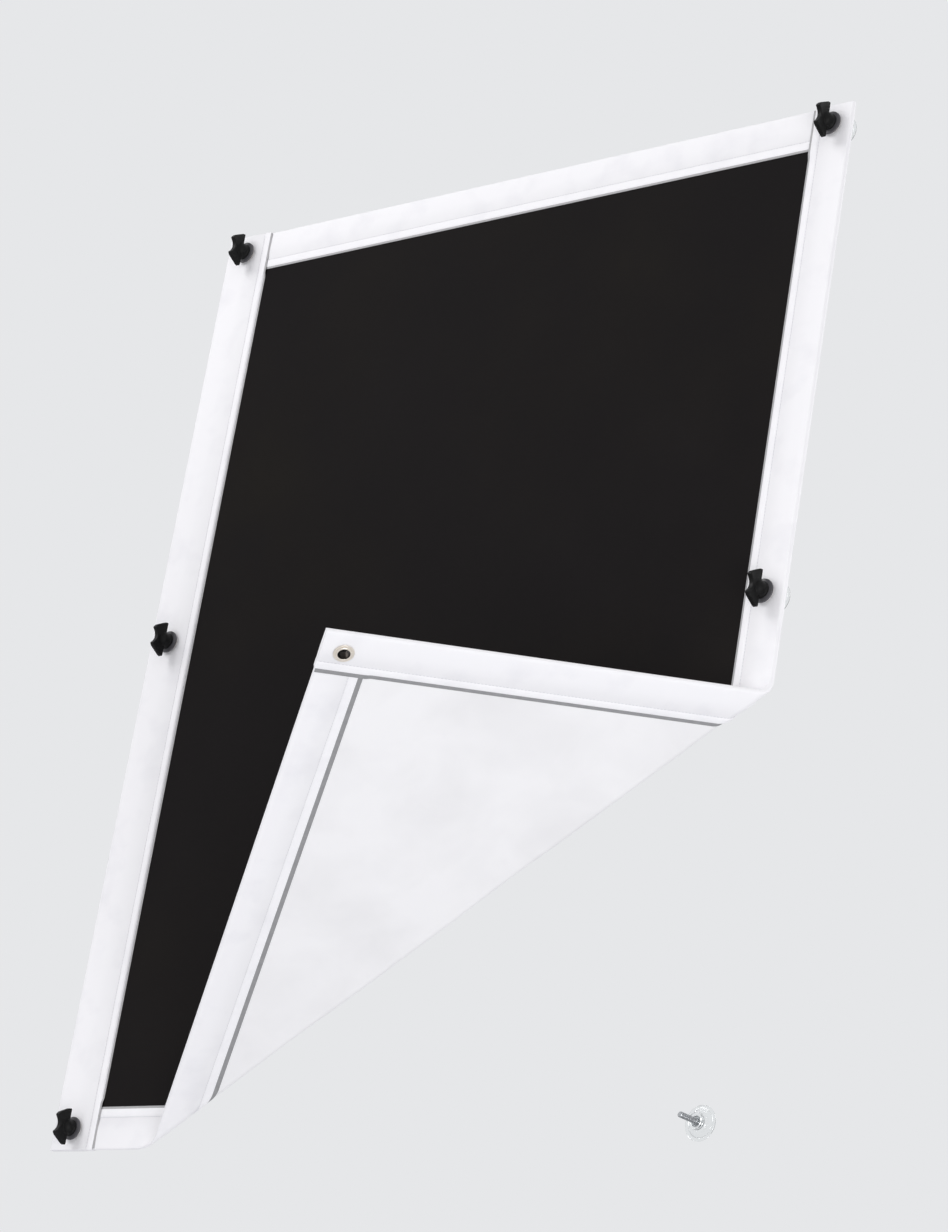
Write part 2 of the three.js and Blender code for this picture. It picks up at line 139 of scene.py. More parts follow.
# %% Colour and node helpers
def tint(hex_colour):
    channels = [int(hex_colour[i:i + 2], 16) / 255 for i in (1, 3, 5)]
    straight = [c / 12.92 if c <= 0.04045 else ((c + 0.055) / 1.055) ** 2.4 for c in channels]
    return straight + [1.0]


def feed(node, sockets):
    for socket, value in sockets.items():
        if isinstance(value, bpy.types.Node):
            value = value.outputs[0]
        if isinstance(value, bpy.types.NodeSocket):
            node.id_data.links.new(value, node.inputs[socket])
        else:
            node.inputs[socket].default_value = value


def adder(tree):
    def add(kind, sockets=None, **settings):
        made = tree.nodes.new(kind)
        for name, value in settings.items():
            setattr(made, name, value)
        feed(made, sockets or {})
        return made

    return add


def new_finish(name, follows="Object"):
    finish = bpy.data.materials.new(name)
    finish.use_nodes = True
    add = adder(finish.node_tree)
    if follows == "Object":
        spot = add("ShaderNodeTexCoord").outputs["Object"]
    else:
        spot = add("ShaderNodeUVMap", uv_map=follows).outputs[0]
    return finish, add, finish.node_tree.nodes["Principled BSDF"], spot


print("black cloth in shader numbers:", [round(c, 4) for c in tint("#1f1e1e")[:3]])

# %% [markdown]
# Patterns that come back
#
# Three patterns are used again and again. Mottling is a soft noise that picks between two near
# colours, as no real surface has only one; a worn finish ties its roughness to the same noise. Grain
# is a noise that only lifts the surface. Crossed threads are two waves at right angles. A noise has
# a patch in every unit at a scale of 1, and a wave repeats every 2 pi / 20 units, so the scales
# follow from the size of a patch and from the thread pitch.

# %% Mottling, grain and crossed threads
def mottle(add, spot, patch, detail, first, second):
    noise = add("ShaderNodeTexNoise", {"Vector": spot, "Scale": 1 / patch, "Detail": detail})
    colour = add("ShaderNodeMix", {0: noise, 6: tint(first), 7: tint(second)}, data_type="RGBA")
    return noise, colour.outputs[2]


def grain(add, spot, patch, detail, strength, distance, below=None, distortion=0.0):
    sizes = {"Vector": spot, "Scale": 1 / patch, "Detail": detail, "Distortion": distortion}
    lift = {"Height": add("ShaderNodeTexNoise", sizes), "Strength": strength, "Distance": distance}
    return add("ShaderNodeBump", lift | ({"Normal": below} if below else {}))


def crossed_threads(add, spot, pitch, unevenness, together):
    sizes = {"Vector": spot, "Scale": 2 * math.pi / 20 / pitch, "Distortion": unevenness}
    warp = add("ShaderNodeTexWave", sizes, bands_direction="X")
    weft = add("ShaderNodeTexWave", sizes, bands_direction="Y")
    rows = {0: warp.outputs["Fac"], 1: weft.outputs["Fac"]}
    return add("ShaderNodeMath", rows, operation=together)


print("a thread pitch of 1 mm needs a wave scale of", round(2 * math.pi / 20 / MM))

# %% [markdown]
# The flat sheet and its fold
#
# Everything sewn to the sheet is first made flat, as a tailor would cut it, and folded afterwards.
# A place on the sheet is x across, z up, and n, its height in front of the middle of the cloth.
# The fold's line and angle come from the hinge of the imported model. Near the line the cloth runs
# round an arc that leaves the flat sheet and meets the turned corner without a kink; past it, the
# corner is turned as one piece. Bent strips that were modelled one by one would drift apart, so one
# function bends all finished pieces: cloth, bands, seams and stitches.

# %% Fold the flat sheet
hinge = next(j for j in frame["joints"] if j["name"] == "corner_fold")
FOLD_TOP = Vector(hinge["pos_m"])
ALONG = np.array([-hinge["axis"][0], -hinge["axis"][2]])
ACROSS = np.array([ALONG[1], -ALONG[0]])
FOLD_ANGLE = -math.radians(hinge["range_deg"][0])
FOLD_REACH = 8.5 * MM
BEND_RADIUS = FOLD_REACH / math.tan(FOLD_ANGLE / 2)
STANDOFF = -FOLD_TOP.y
HALF_WIDTH = cad_box[1].x
HALF_HEIGHT = cad_box[1].z


def fold_distance(x, z):
    return (x - FOLD_TOP.x) * ACROSS[0] + (z - FOLD_TOP.z) * ACROSS[1]


def folded(flat):
    x, z, n = np.asarray(flat, float).reshape(-1, 3).T
    u = (x - FOLD_TOP.x) * ALONG[0] + (z - FOLD_TOP.z) * ALONG[1]
    d = fold_distance(x, z)
    angle = np.clip((d + FOLD_REACH) / (2 * FOLD_REACH), 0, 1) * FOLD_ANGLE
    before = np.minimum(d + FOLD_REACH, 0)
    past = np.maximum(d - FOLD_REACH, 0)
    turned = before - FOLD_REACH + (BEND_RADIUS - n) * np.sin(angle) + past * math.cos(FOLD_ANGLE)
    height = BEND_RADIUS - (BEND_RADIUS - n) * np.cos(angle) + past * math.sin(FOLD_ANGLE)
    return np.column_stack([
        FOLD_TOP.x + ALONG[0] * u + ACROSS[0] * turned,
        -(STANDOFF + height),
        FOLD_TOP.z + ALONG[1] * u + ACROSS[1] * turned,
    ])


print("the corner stands open by", round(math.degrees(FOLD_ANGLE), 1), "degrees")

# %% [markdown]
# From points to pieces
#
# A few helpers are shared by all pieces. quads() lays faces between neighbouring rows of points.
# shell() makes a piece of points and faces and turns its faces outwards. settle() runs the modifiers
# of a piece and keeps the result as a plain mesh. fold_over() folds a flat piece and first notes each
# point's flat place in a UV map, counted in metres. The cloth patterns read that map, so they bend
# with the cloth and keep their real scale.

# %% Mesh helpers
def raw_mesh(name, points, edges, faces):
    mesh = bpy.data.meshes.new(name)
    mesh.from_pydata(points, edges, faces)
    return mesh


def quads(rows, closed=True):
    faces = []
    for low, high in zip(rows, rows[1:]):
        for i in range(len(low) if closed else len(low) - 1):
            j = (i + 1) % len(low)
            corners = list(dict.fromkeys([low[i], low[j], high[j], high[i]]))
            if len(corners) > 2:
                faces.append(corners)
    return faces


def baked(name, work):
    mesh = bpy.data.meshes.new(name)
    work.to_mesh(mesh)
    work.free()
    return mesh


def shell(name, points, faces, finish, sharp=38):
    mesh = raw_mesh(name, points, [], faces)
    work = bmesh.new()
    work.from_mesh(mesh)
    bmesh.ops.recalc_face_normals(work, faces=work.faces)
    work.to_mesh(mesh)
    work.free()
    mesh.materials.append(finish)
    mesh.shade_smooth()
    mesh.set_sharp_from_angle(angle=math.radians(sharp))
    return linked(name, mesh)


def settle(obj):
    bpy.context.view_layer.update()
    graph = bpy.context.evaluated_depsgraph_get()
    result = bpy.data.meshes.new_from_object(obj.evaluated_get(graph))
    obj.modifiers.clear()
    obj.data = result
    return obj


def coordinates(mesh):
    co = np.empty(len(mesh.vertices) * 3)
    mesh.vertices.foreach_get("co", co)
    return co.reshape(-1, 3)


def place_points(mesh, points):
    mesh.vertices.foreach_set("co", points.astype(np.float32).ravel())
    mesh.update()


def note(mesh, name, values):
    mark = mesh.attributes.new(name, "FLOAT", "POINT")
    mark.data.foreach_set("value", np.asarray(values, np.float32))


def fold_over(obj):
    mesh = obj.data
    co = coordinates(mesh)
    flat = np.column_stack([co[:, 0], co[:, 2], -co[:, 1] - STANDOFF])
    corners = np.empty(len(mesh.loops), np.int32)
    mesh.loops.foreach_get("vertex_index", corners)
    layer = mesh.uv_layers.get("flat") or mesh.uv_layers.new(name="flat")
    layer.uv.foreach_set("vector", flat[corners, :2].astype(np.float32).ravel())
    place_points(mesh, folded(flat))
    return obj


def smooth(t):
    t = np.clip(t, 0, 1)
    return t * t * (3 - 2 * t)


print("one straight millimetre is", MM, "metres")

# %% [markdown]
# The eyelets' places
#
# The sheet is pierced in six places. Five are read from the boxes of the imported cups, which stand
# straight behind the eyelets. The sixth, on the corner that is folded open, lines up with its two
# neighbours. One object with six plain cylinders then punches every layer of cloth with a Boolean
# modifier. The Manifold solver suits closed shells, and is fast.

# %% Eyelet places and the punch
HOLE_RADIUS = 5.8 * MM
PUNCH_REACH = 12 * MM
places = {}
for name in ("top_left", "top_right", "middle_left", "middle_right", "bottom_left"):
    low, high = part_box("suction_cup_" + name)
    places[name] = ((low.x + high.x) / 2, (low.z + high.z) / 2)
places["bottom_right"] = (places["top_right"][0], places["bottom_left"][1])

punch_mesh = bmesh.new()
for x, z in places.values():
    made = bmesh.ops.create_cone(
        punch_mesh, cap_ends=True, segments=64, radius1=HOLE_RADIUS, radius2=HOLE_RADIUS,
        depth=2 * PUNCH_REACH,
    )
    for vertex in made["verts"]:
        across_hole, up_hole, through = vertex.co
        vertex.co = (x + across_hole, -through - STANDOFF, z + up_hole)
punch = linked("punch", baked("punch", punch_mesh))
punch.hide_render = True


def cut_away(obj, tool):
    cut = obj.modifiers.new("cut", "BOOLEAN")
    cut.operation = "DIFFERENCE"
    cut.solver = "MANIFOLD"
    cut.object = tool
    return settle(obj)


print("eyelets:", {name: (round(x, 3), round(z, 3)) for name, (x, z) in places.items()})

# %% [markdown]
# Black cloth
#
# The face is a dense black weave with a soft coating. It is not one flat black: it has slow cloudy
# changes from the coating, and a slight turn to blue or to olive. Two noise textures give those.
# The weave is a bump of two crossed waves, with an uneven noise so that no row looks ruled. Real
# threads stand closer than 0.9 mm, but would not show in the render.

# %% Black cloth finish
THREAD_PITCH = 0.9 * MM
BLACK_CLOUD = 111 * MM
TINGE = 312.5 * MM
SLUB = 2.38 * MM
black_cloth, add, shader, spot = new_finish("black_cloth", "flat")
clouds = add("ShaderNodeTexNoise", {"Vector": spot, "Scale": 1 / BLACK_CLOUD, "Detail": 4.0})
cool_or_warm = mottle(add, spot, TINGE, 1.0, "#18161a", "#1e1b16")[1]
depth = add("ShaderNodeMapRange", {0: clouds, 1: 0.3, 2: 0.7, 3: 0.05, 4: 0.95})
mottled = add("ShaderNodeMix", {0: depth, 6: tint("#110e0f"), 7: cool_or_warm}, data_type="RGBA")
weave = crossed_threads(add, spot, THREAD_PITCH, 0.6, "MULTIPLY")
slubs = add("ShaderNodeTexNoise", {"Vector": spot, "Scale": 1 / SLUB, "Detail": 3.0})
height = add("ShaderNodeMath", {0: weave, 1: slubs}, operation="ADD")
bump = add("ShaderNodeBump", {"Height": height, "Strength": 0.35, "Distance": 0.25 * MM})
dull = add("ShaderNodeMapRange", {0: clouds, 1: 0.3, 2: 0.7, 3: 0.8, 4: 0.92})
feed(shader, {
    "Base Color": mottled.outputs[2], "Normal": bump, "Roughness": dull, "Specular IOR Level": 0.1,
})
print("threads to a centimetre:", round(10 * MM / THREAD_PITCH, 1))

# %% [markdown]
# Pale coating
#
# The back of the sheet is the coating that stops the light: off-white, smoother than cloth, with
# faint grey clouds where it was spread unevenly and long shallow creases from storage. The clouds
# are a noise between two near colours, and the creases only a bump, because the real ones show by
# their shading alone.

# %% Pale coating finish
PALE_CLOUD = 83.3 * MM
CREASE = 45.5 * MM
GRIT = 1.43 * MM
pale_coating, add, shader, spot = new_finish("pale_coating", "flat")
sizes = {"Vector": spot, "Scale": 1 / PALE_CLOUD, "Detail": 3.0, "Distortion": 0.4}
clouds = add("ShaderNodeTexNoise", sizes)
patches = add("ShaderNodeMapRange", {0: clouds, 1: 0.4, 2: 0.72})
cloudy = add("ShaderNodeMix", {0: patches, 6: tint("#f4f3f5"), 7: tint("#ecebed")}, data_type="RGBA")
creased = grain(add, spot, CREASE, 2.0, 0.4, 1.6 * MM, distortion=1.4)
grained = grain(add, spot, GRIT, 2.0, 0.3, 0.12 * MM, below=creased)
feed(shader, {"Base Color": cloudy.outputs[2], "Normal": grained, "Roughness": 0.55})
print("coating clouds are about", round(PALE_CLOUD / MM), "mm across")

# %% [markdown]
# The two layers of the sheet
#
# Each layer is a grid that is cut along lines parallel to the fold, so that the bend gets clean rows
# of faces, and given its half millimetre by Solidify. Held at points, real cloth is never quite
# flat. On a sheet under even tension the waves are less than a millimetre high, so no cloth
# simulation is needed: a sum of three slow waves that fades out at the bands gives the same and
# keeps both layers exactly parallel.

# %% Ripples
PLY = 0.5 * MM
PLY_MIDDLE = 0.4 * MM
PLY_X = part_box("face_ply")[1].x
PLY_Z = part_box("face_ply")[1].z
LEFT_WIDTH = 56 * MM
RIGHT_WIDTH = 41 * MM
END_WIDTH = 38 * MM
BAND_LEFT_X = LEFT_WIDTH - HALF_WIDTH
BAND_RIGHT_X = HALF_WIDTH - RIGHT_WIDTH
BAND_Z = HALF_HEIGHT - END_WIDTH
RIPPLE = 0.42 * MM
RIPPLE_FADE = 70 * MM
WAVES = ((1.0, 21, 8, 0.6), (0.7, -13, 26, 2.1), (0.5, 37, 31, 4.0))


def ripple(x, z):
    fade = smooth((x - BAND_LEFT_X) / RIPPLE_FADE) * smooth((BAND_RIGHT_X - x) / RIPPLE_FADE)
    fade *= smooth((BAND_Z - abs(z)) / RIPPLE_FADE)
    waves = sum(high * math.sin(a * x + b * z + start) for high, a, b, start in WAVES)
    return RIPPLE * fade * waves


print("the middle of the sheet ripples by", round(ripple(0, 0) / MM, 2), "mm")

# %% Make the two layers
GRID = 8 * MM
BEND_CUTS = 12


def layer(name, middle, finish):
    columns = np.linspace(-PLY_X, PLY_X, round(2 * PLY_X / GRID) + 1)
    rows = np.linspace(-PLY_Z, PLY_Z, round(2 * PLY_Z / GRID) + 1)
    points = [(x, 0, z) for z in rows for x in columns]
    grid = np.arange(len(points)).reshape(len(rows), -1).tolist()
    obj = shell(name, points, quads(grid, closed=False), finish)
    work = bmesh.new()
    work.from_mesh(obj.data)
    across = Vector((ACROSS[0], 0, ACROSS[1]))
    fold_top = Vector((FOLD_TOP.x, 0, FOLD_TOP.z))
    for d in np.linspace(-FOLD_REACH, FOLD_REACH, BEND_CUTS + 1):
        everything = work.verts[:] + work.edges[:] + work.faces[:]
        bmesh.ops.bisect_plane(work, geom=everything, plane_co=fold_top + across * d, plane_no=across)
    for vertex in work.verts:
        vertex.co.y = -(STANDOFF + middle + ripple(vertex.co.x, vertex.co.z))
    work.to_mesh(obj.data)
    work.free()
    body = obj.modifiers.new("thickness", "SOLIDIFY")
    body.thickness = PLY
    body.offset = 0
    return fold_over(cut_away(obj, punch))


face_cloth = layer("face_cloth", PLY_MIDDLE, black_cloth)
reverse_cloth = layer("reverse_cloth", -PLY_MIDDLE, pale_coating)
print("each layer has", len(face_cloth.data.polygons), "faces")

# %% [markdown]
# White band
#
# The bands are a woven white webbing. Its finish is a very pale cool grey, as bright as cloth can be,
# with a fine rib and a little greyness that comes and goes, as on a band that has been handled. The
# rib is drawn a little coarser than a real one, so that it shows. Towards the stitches the colour is
# darkened as painted shade for the groove, and the ridge past them has its full white again. Every
# point of it carries its way across for that: 0 at the outer edge, 1 in the groove, 2 at the inner edge.

# %% White band finish
RIB_PITCH = 0.8 * MM
SOILED_PATCH = 35.7 * MM
# Stops of painted shade across the band, darkest just outside the stitched ridge.
GROOVE_SHADE = ((0.06, 1.0), (0.25, 0.985), (0.47, 0.93), (0.5, 0.92), (0.53, 1.0))
white_band, add, shader, spot = new_finish("white_band", "flat")
handled = add("ShaderNodeTexNoise", {"Vector": spot, "Scale": 1 / SOILED_PATCH, "Detail": 4.0})
soiled = add("ShaderNodeMapRange", {0: handled, 1: 0.5, 2: 0.75})
whites = {0: soiled, 6: tint("#f7f6f9"), 7: tint("#f0eff3")}
band_colour = add("ShaderNodeMix", whites, data_type="RGBA")
across_band = add("ShaderNodeAttribute", attribute_name="across")
halved = add("ShaderNodeMath", {0: across_band.outputs["Fac"], 1: 0.5}, operation="MULTIPLY")
# Painted shade: this ramp darkens the band's colour in the stitch groove.
groove_shade = add("ShaderNodeValToRGB", {0: halved})
for place_on_ramp, grey in GROOVE_SHADE:
    stop = groove_shade.color_ramp.elements.new(place_on_ramp)
    stop.color = (grey, grey, grey, 1)
groove_shade.color_ramp.elements[0].color = (1, 1, 1, 1)
greyed = {0: 1.0, 6: band_colour.outputs[2], 7: groove_shade}
groove_shaded = add("ShaderNodeMix", greyed, data_type="RGBA", blend_type="MULTIPLY")
ribs = crossed_threads(add, spot, RIB_PITCH, 0.8, "ADD")
ribbed = add("ShaderNodeBump", {"Height": ribs, "Strength": 0.3, "Distance": 0.15 * MM})
feed(shader, {
    "Base Color": groove_shaded.outputs[2], "Normal": ribbed, "Roughness": 0.68, "Sheen Weight": 0.05,
})
print("band ribs are", RIB_PITCH / MM, "mm apart")

# %% [markdown]
# The section of a band
#
# A band is one strip folded round the edge of the sheet: a round nose at the edge, a slightly
# swollen leg on each face, a stitched groove near the inner edge, and then a full rolled rim that
# comes down on the cloth. The section is worked out for every station along the band, because it
# changes: the side bands climb over the ends of the other bands, each eyelet presses the band down
# round its flange, and the tension of the sewing makes small puckers beside the stitches. A bevelled
# curve could not change in that way, so the band is a loft of such sections. Here w is the way
# across the band from its outer edge, s the way along it, and n the height over the middle of the
# cloth. The nose has its radius inside and at the tip, the crown is how far a leg swells, and the
# groove how deep the stitches draw it in.

# %% Heights across a band
SIDE = {"inner": 2.15 * MM, "tip": 2.65 * MM, "crown": 0.5 * MM, "groove": 0.7 * MM}
LEFT = {"width": LEFT_WIDTH, **SIDE}
RIGHT = {"width": RIGHT_WIDTH, **SIDE}
END = {"width": END_WIDTH, "inner": 0.95 * MM, "tip": 1.45 * MM, "crown": 0.4 * MM, "groove": 0.5 * MM}
CLOTH_TOP = 0.7 * MM
END_BAND_TOP = 1.95 * MM
RIDGE = 8 * MM
ROLL = 2.4 * MM
ROLL_FOOT = 0.2 * MM
RIM_HOLLOW = 20 * MM
HOLLOW_FADE = 2 * MM
OFF_CLOTH = 0.02 * MM
PUCKER = 0.14 * MM
PUCKER_PITCH = 11 * MM
PUCKER_DRIFT = 0.8
DRIFT_RATE = 37
FLANGE_RADIUS = 8.8 * MM
PRESS = 0.3 * MM
END_ROUNDING = 0.45 * MM
END_DROP = 0.27 * MM
CLIMB_START = 11 * MM
CLIMB = 6 * MM
PRESS_FADE = 4 * MM
GROOVE_INNER = 1.2 * MM
GROOVE_OUTER = 6.5 * MM
PUCKER_PLACE = 4 * MM
PUCKER_REACH = 2.2 * MM


def ground(s, kind):
    if kind is END:
        return CLOTH_TOP
    return CLOTH_TOP + (END_BAND_TOP - CLOTH_TOP) * smooth((abs(s) - BAND_Z + CLIMB_START) / CLIMB)


def pressed(x, z):
    away = min(math.hypot(x - px, z - pz) for px, pz in places.values())
    return PRESS * math.exp(-(max(away - FLANGE_RADIUS, 0) / PRESS_FADE) ** 2)


def swell(kind, w):
    return kind["crown"] * math.sin(math.pi * (w - kind["tip"]) / (kind["width"] - kind["tip"]))


def outer_height(kind, w, s, to_end):
    width = kind["width"]
    from_stitches = w - width + RIDGE
    slope = GROOVE_INNER if from_stitches > 0 else GROOVE_OUTER
    groove = kind["groove"] * math.exp(-(from_stitches / slope) ** 2)
    beside = math.exp(-((w - width + PUCKER_PLACE) / PUCKER_REACH) ** 2)
    drift = PUCKER_DRIFT * math.sin(DRIFT_RATE * s)
    pucker = PUCKER * beside * math.sin(2 * math.pi * s / PUCKER_PITCH + drift)
    top = kind["tip"] + swell(kind, w) - groove + pucker
    foot = ground(s, kind) + ROLL_FOOT
    turn = min(max((w - width + ROLL) / ROLL, 0), 1)
    soft_end = 1 - min(max(to_end / END_ROUNDING, 0), 1)
    rounding = END_DROP * (1 - math.sqrt(1 - soft_end ** 2))
    return foot + (top - foot) * math.sqrt(1 - turn ** 2) - rounding


def inner_height(kind, w, s):
    in_rim = smooth((w - kind["width"] + RIM_HOLLOW) / HOLLOW_FADE)
    in_leg = kind["inner"] + swell(kind, w)
    return in_leg * (1 - in_rim) + (ground(s, kind) + OFF_CLOTH) * in_rim


print("middle of the left band:", round(outer_height(LEFT, 0.03, 0, 1) / MM, 2), "mm over the cloth")

# %% One section
END_WEB = 0.32 * MM
CLOSED_GAP = 0.02
FROM_RIM = [0, 0.05, 0.2, 0.5, 0.9, 1.4, 1.9, 2.4, 3.2, 4, 4.8, 5.4, 5.9, 6.3, 6.6, 6.9, 7.2, 7.5, 7.8]
FROM_RIM += [8, 8.3, 8.7, 9.2, 9.8, 10.5, 11.3, 12.2, 13.2, 14.4]
NOSE_ANGLES = np.linspace(math.pi / 2, -math.pi / 2, 11)[1:-1]


def section(kind, s, place, to_end):
    width, tip = kind["width"], kind["tip"]
    outer_w = [width - e * MM for e in FROM_RIM] + list(np.linspace(width - 16 * MM, tip, 13))
    inner_w = [tip, *np.linspace(tip + 3 * MM, width - 21 * MM, 6)]
    inner_w += [width - e * MM for e in (20, 19, 18, 8)] + [width]
    front = [(w, outer_height(kind, w, s, to_end) - pressed(*place(w, s))) for w in outer_w]
    nose = [(tip - tip * math.cos(a), tip * math.sin(a)) for a in NOSE_ANGLES]
    back = [(w, -n) for w, n in reversed(front)]
    gap = CLOSED_GAP if kind is not END and to_end < END_WEB else 1.0
    under = [(w, gap * (inner_height(kind, w, s) - pressed(*place(w, s)))) for w in inner_w]
    inner = kind["inner"]
    hollow = [(tip - inner * math.cos(a), -gap * inner * math.sin(a)) for a in NOSE_ANGLES]
    below = [(w, -n) for w, n in reversed(under)]
    return front + nose + back + below + hollow + under


print("a section has", len(section(LEFT, 0, lambda w, s: (w, s), 1)), "points")

# %% [markdown]
# The four bands
#
# Stations stand 2.5 mm apart, and closer where the band bends round the fold and near its ends. The
# end bands stop inside the side bands, and the side bands lie over them, as the sewing order of the
# real sheet shows at its corners. A thin web at each end shuts the side bands, as a sewn end would.
# The left and top bands never bend, so they only ride on the sheet; the other two are bent later by
# the same joint as the cloth.

# %% Stations along a band
STATION = 2.5 * MM
BEND_STATION = 1.2 * MM
END_STATIONS = np.array([0, 0.06, 0.16, 0.3, 0.34, 0.45, 1.2]) * MM
SIDE_BAND_REACH = HALF_HEIGHT + END_WEB + 0.04 * MM
END_BAND_REACH = HALF_WIDTH - SIDE["tip"] - 0.5 * MM
BAND_PLANS = {
    "left": (LEFT, SIDE_BAND_REACH, lambda w, s: (-HALF_WIDTH + w, s)),
    "right": (RIGHT, SIDE_BAND_REACH, lambda w, s: (HALF_WIDTH - w, s)),
    "top": (END, END_BAND_REACH, lambda w, s: (s, HALF_HEIGHT - w)),
    "bottom": (END, END_BAND_REACH, lambda w, s: (s, -HALF_HEIGHT + w)),
}


def stations(kind, reach, place):
    found = list(END_STATIONS - reach) + list(reach - END_STATIONS)
    s = STATION - reach
    while s < reach - STATION:
        found.append(s)
        away = [abs(fold_distance(*place(w, s))) for w in (0, kind["width"] / 2, kind["width"])]
        s += BEND_STATION if min(away) < FOLD_REACH + STATION else STATION
    return sorted(set(round(s, 7) for s in found))


print("stations on the left band:", len(stations(*BAND_PLANS["left"])))

# %% Make the four bands
def band(name, kind, reach, place):
    spine = stations(kind, reach, place)
    points = []
    for s in spine:
        for w, n in section(kind, s, place, min(s + reach, reach - s)):
            x, z = place(w, s)
            points.append((x, -(STANDOFF + n), z))
    rings = np.arange(len(points)).reshape(len(spine), -1).tolist()
    faces = [rings[0], rings[-1]] + quads(rings)
    obj = cut_away(shell(name, points, faces, white_band, sharp=50), punch)
    co = coordinates(obj.data)
    inwards = np.array(place(1, 0)) - np.array(place(0, 0))
    w = (co[:, 0] - place(0, 0)[0]) * inwards[0] + (co[:, 2] - place(0, 0)[1]) * inwards[1]
    field = kind["width"] - RIDGE
    note(obj.data, "across", np.where(w < field, w / field, 1 + (w - field) / RIDGE))
    return fold_over(obj)


bands = {side: band(f"band_{side}_sewn", *plan) for side, plan in BAND_PLANS.items()}
for side in ("left", "top"):
    print("faces in the", side, "band:", len(bands[side].data.polygons))

# %% [markdown]
# Painted seam shadows and stitches
#
# A grey strip along the inner edge of every band is painted shadow, standing for the shade line
# there: narrow and light in front, wider and darker at the back. A row of stitches runs in the groove
# beside it. All follow a path, which is what Geometry Nodes are good at: one tree sweeps a flat oval
# section along a line, the other sets one small stitch after another on it. Each stitch is a slim
# ellipsoid of 24 faces, because there are some two thousand. The sizes are inputs of the trees, so
# the same two trees serve all four bands.

# %% Thread and painted shadow finishes
def worn_finish(name, patch, detail, dark, light, rough, more=None):
    finish, add, shader, spot = new_finish(name)
    wear, colour = mottle(add, spot, patch, detail, dark, light)
    gloss = add("ShaderNodeMapRange", {0: wear, 1: 0.3, 2: 0.7, 3: rough[0], 4: rough[1]})
    feed(shader, {"Base Color": colour, "Roughness": gloss, **(more or {})})
    return finish, add, shader, spot, colour


def shadow_strip_finish(name, dark, light):
    finish, add, shader, spot = new_finish(name, "flat")
    fray, colour = mottle(add, spot, 6.25 * MM, 4.0, dark, light)
    frayed = add("ShaderNodeBump", {"Height": fray, "Strength": 0.3, "Distance": 0.2 * MM})
    feed(shader, {"Base Color": colour, "Normal": frayed, "Roughness": 0.75})
    return finish


sewing_thread = worn_finish("sewing_thread", 0.556 * MM, 2.0, "#dddce1", "#c9c8ce", (0.6, 0.6))[0]
# Painted shadow: grey of the strips at the bands' inner edges, lighter in front, darker at the back.
painted_shadow_front = shadow_strip_finish("painted_shadow_front", "#a09fa1", "#bab9bb")
painted_shadow_back = shadow_strip_finish("painted_shadow_back", "#848486", "#a0a0a2")
print("made:", sewing_thread.name, painted_shadow_front.name, painted_shadow_back.name)

# %% Helpers for trees
def new_tree(name, sizes):
    tree = bpy.data.node_groups.new(name, "GeometryNodeTree")
    tree.interface.new_socket("Geometry", in_out="INPUT", socket_type="NodeSocketGeometry")
    for size in sizes:
        tree.interface.new_socket(size, in_out="INPUT", socket_type="NodeSocketFloat")
    tree.interface.new_socket("Finish", in_out="INPUT", socket_type="NodeSocketMaterial")
    tree.interface.new_socket("Geometry", in_out="OUTPUT", socket_type="NodeSocketGeometry")
    add = adder(tree)
    return tree, add, add("NodeGroupInput").outputs


def close_tree(add, geometry, given):
    real = add("GeometryNodeRealizeInstances", {0: geometry})
    smooth_faces = add("GeometryNodeSetShadeSmooth", {0: real})
    dyed = add("GeometryNodeSetMaterial", {"Geometry": smooth_faces, "Material": given["Finish"]})
    add("NodeGroupOutput", {0: dyed})


def run_tree(obj, tree, sizes):
    run = obj.modifiers.new(tree.name, "NODES")
    run.node_group = tree
    for socket in tree.interface.items_tree:
        if socket.name in sizes:
            run[socket.identifier] = sizes[socket.name]
    return settle(obj)


def points_along(add, given):
    path = add("GeometryNodeMeshToCurve", {"Mesh": given["Geometry"]})
    return add("GeometryNodeCurveToPoints", {"Curve": path, "Length": given["Pitch"]}, mode="LENGTH")


print("a tree gets its sizes by the identifiers of its inputs")

# %% The shadow strip tree and the stitch tree
shadow_strip_tree, add, given = new_tree("Seam tape", ("Step", "Half width", "Half thickness"))
line = add("GeometryNodeMeshToCurve", {"Mesh": given["Geometry"]})
stepped = add("GeometryNodeResampleCurve", {"Curve": line, "Length": given["Step"]}, mode="LENGTH")
facing = add("GeometryNodeSetCurveNormal", {"Curve": stepped, "Normal": (0, -1, 0)}, mode="FREE")
ring = add("GeometryNodeCurvePrimitiveCircle", {"Resolution": 10, "Radius": 1.0})
oval_size = add("ShaderNodeCombineXYZ", {0: given["Half thickness"], 1: given["Half width"], 2: 1.0})
oval = add("GeometryNodeTransform", {"Geometry": ring, "Scale": oval_size})
swept = add("GeometryNodeCurveToMesh", {"Curve": facing, "Profile Curve": oval, "Fill Caps": True})
close_tree(add, swept, given)

stitch_tree, add, given = new_tree("Stitch row", ("Pitch", "Half length", "Thread radius"))
marks = points_along(add, given)
lie = add("FunctionNodeAlignRotationToVector", {"Vector": marks.outputs["Tangent"]}, axis="Z")
ball = add("GeometryNodeMeshUVSphere", {"Segments": 6, "Rings": 4, "Radius": 1.0})
thread_radius = given["Thread radius"]
slim = add("ShaderNodeCombineXYZ", {0: thread_radius, 1: thread_radius, 2: given["Half length"]})
placed = {"Points": marks, "Instance": ball, "Rotation": lie, "Scale": slim}
close_tree(add, add("GeometryNodeInstanceOnPoints", placed), given)
print("trees:", shadow_strip_tree.name, "and", stitch_tree.name)
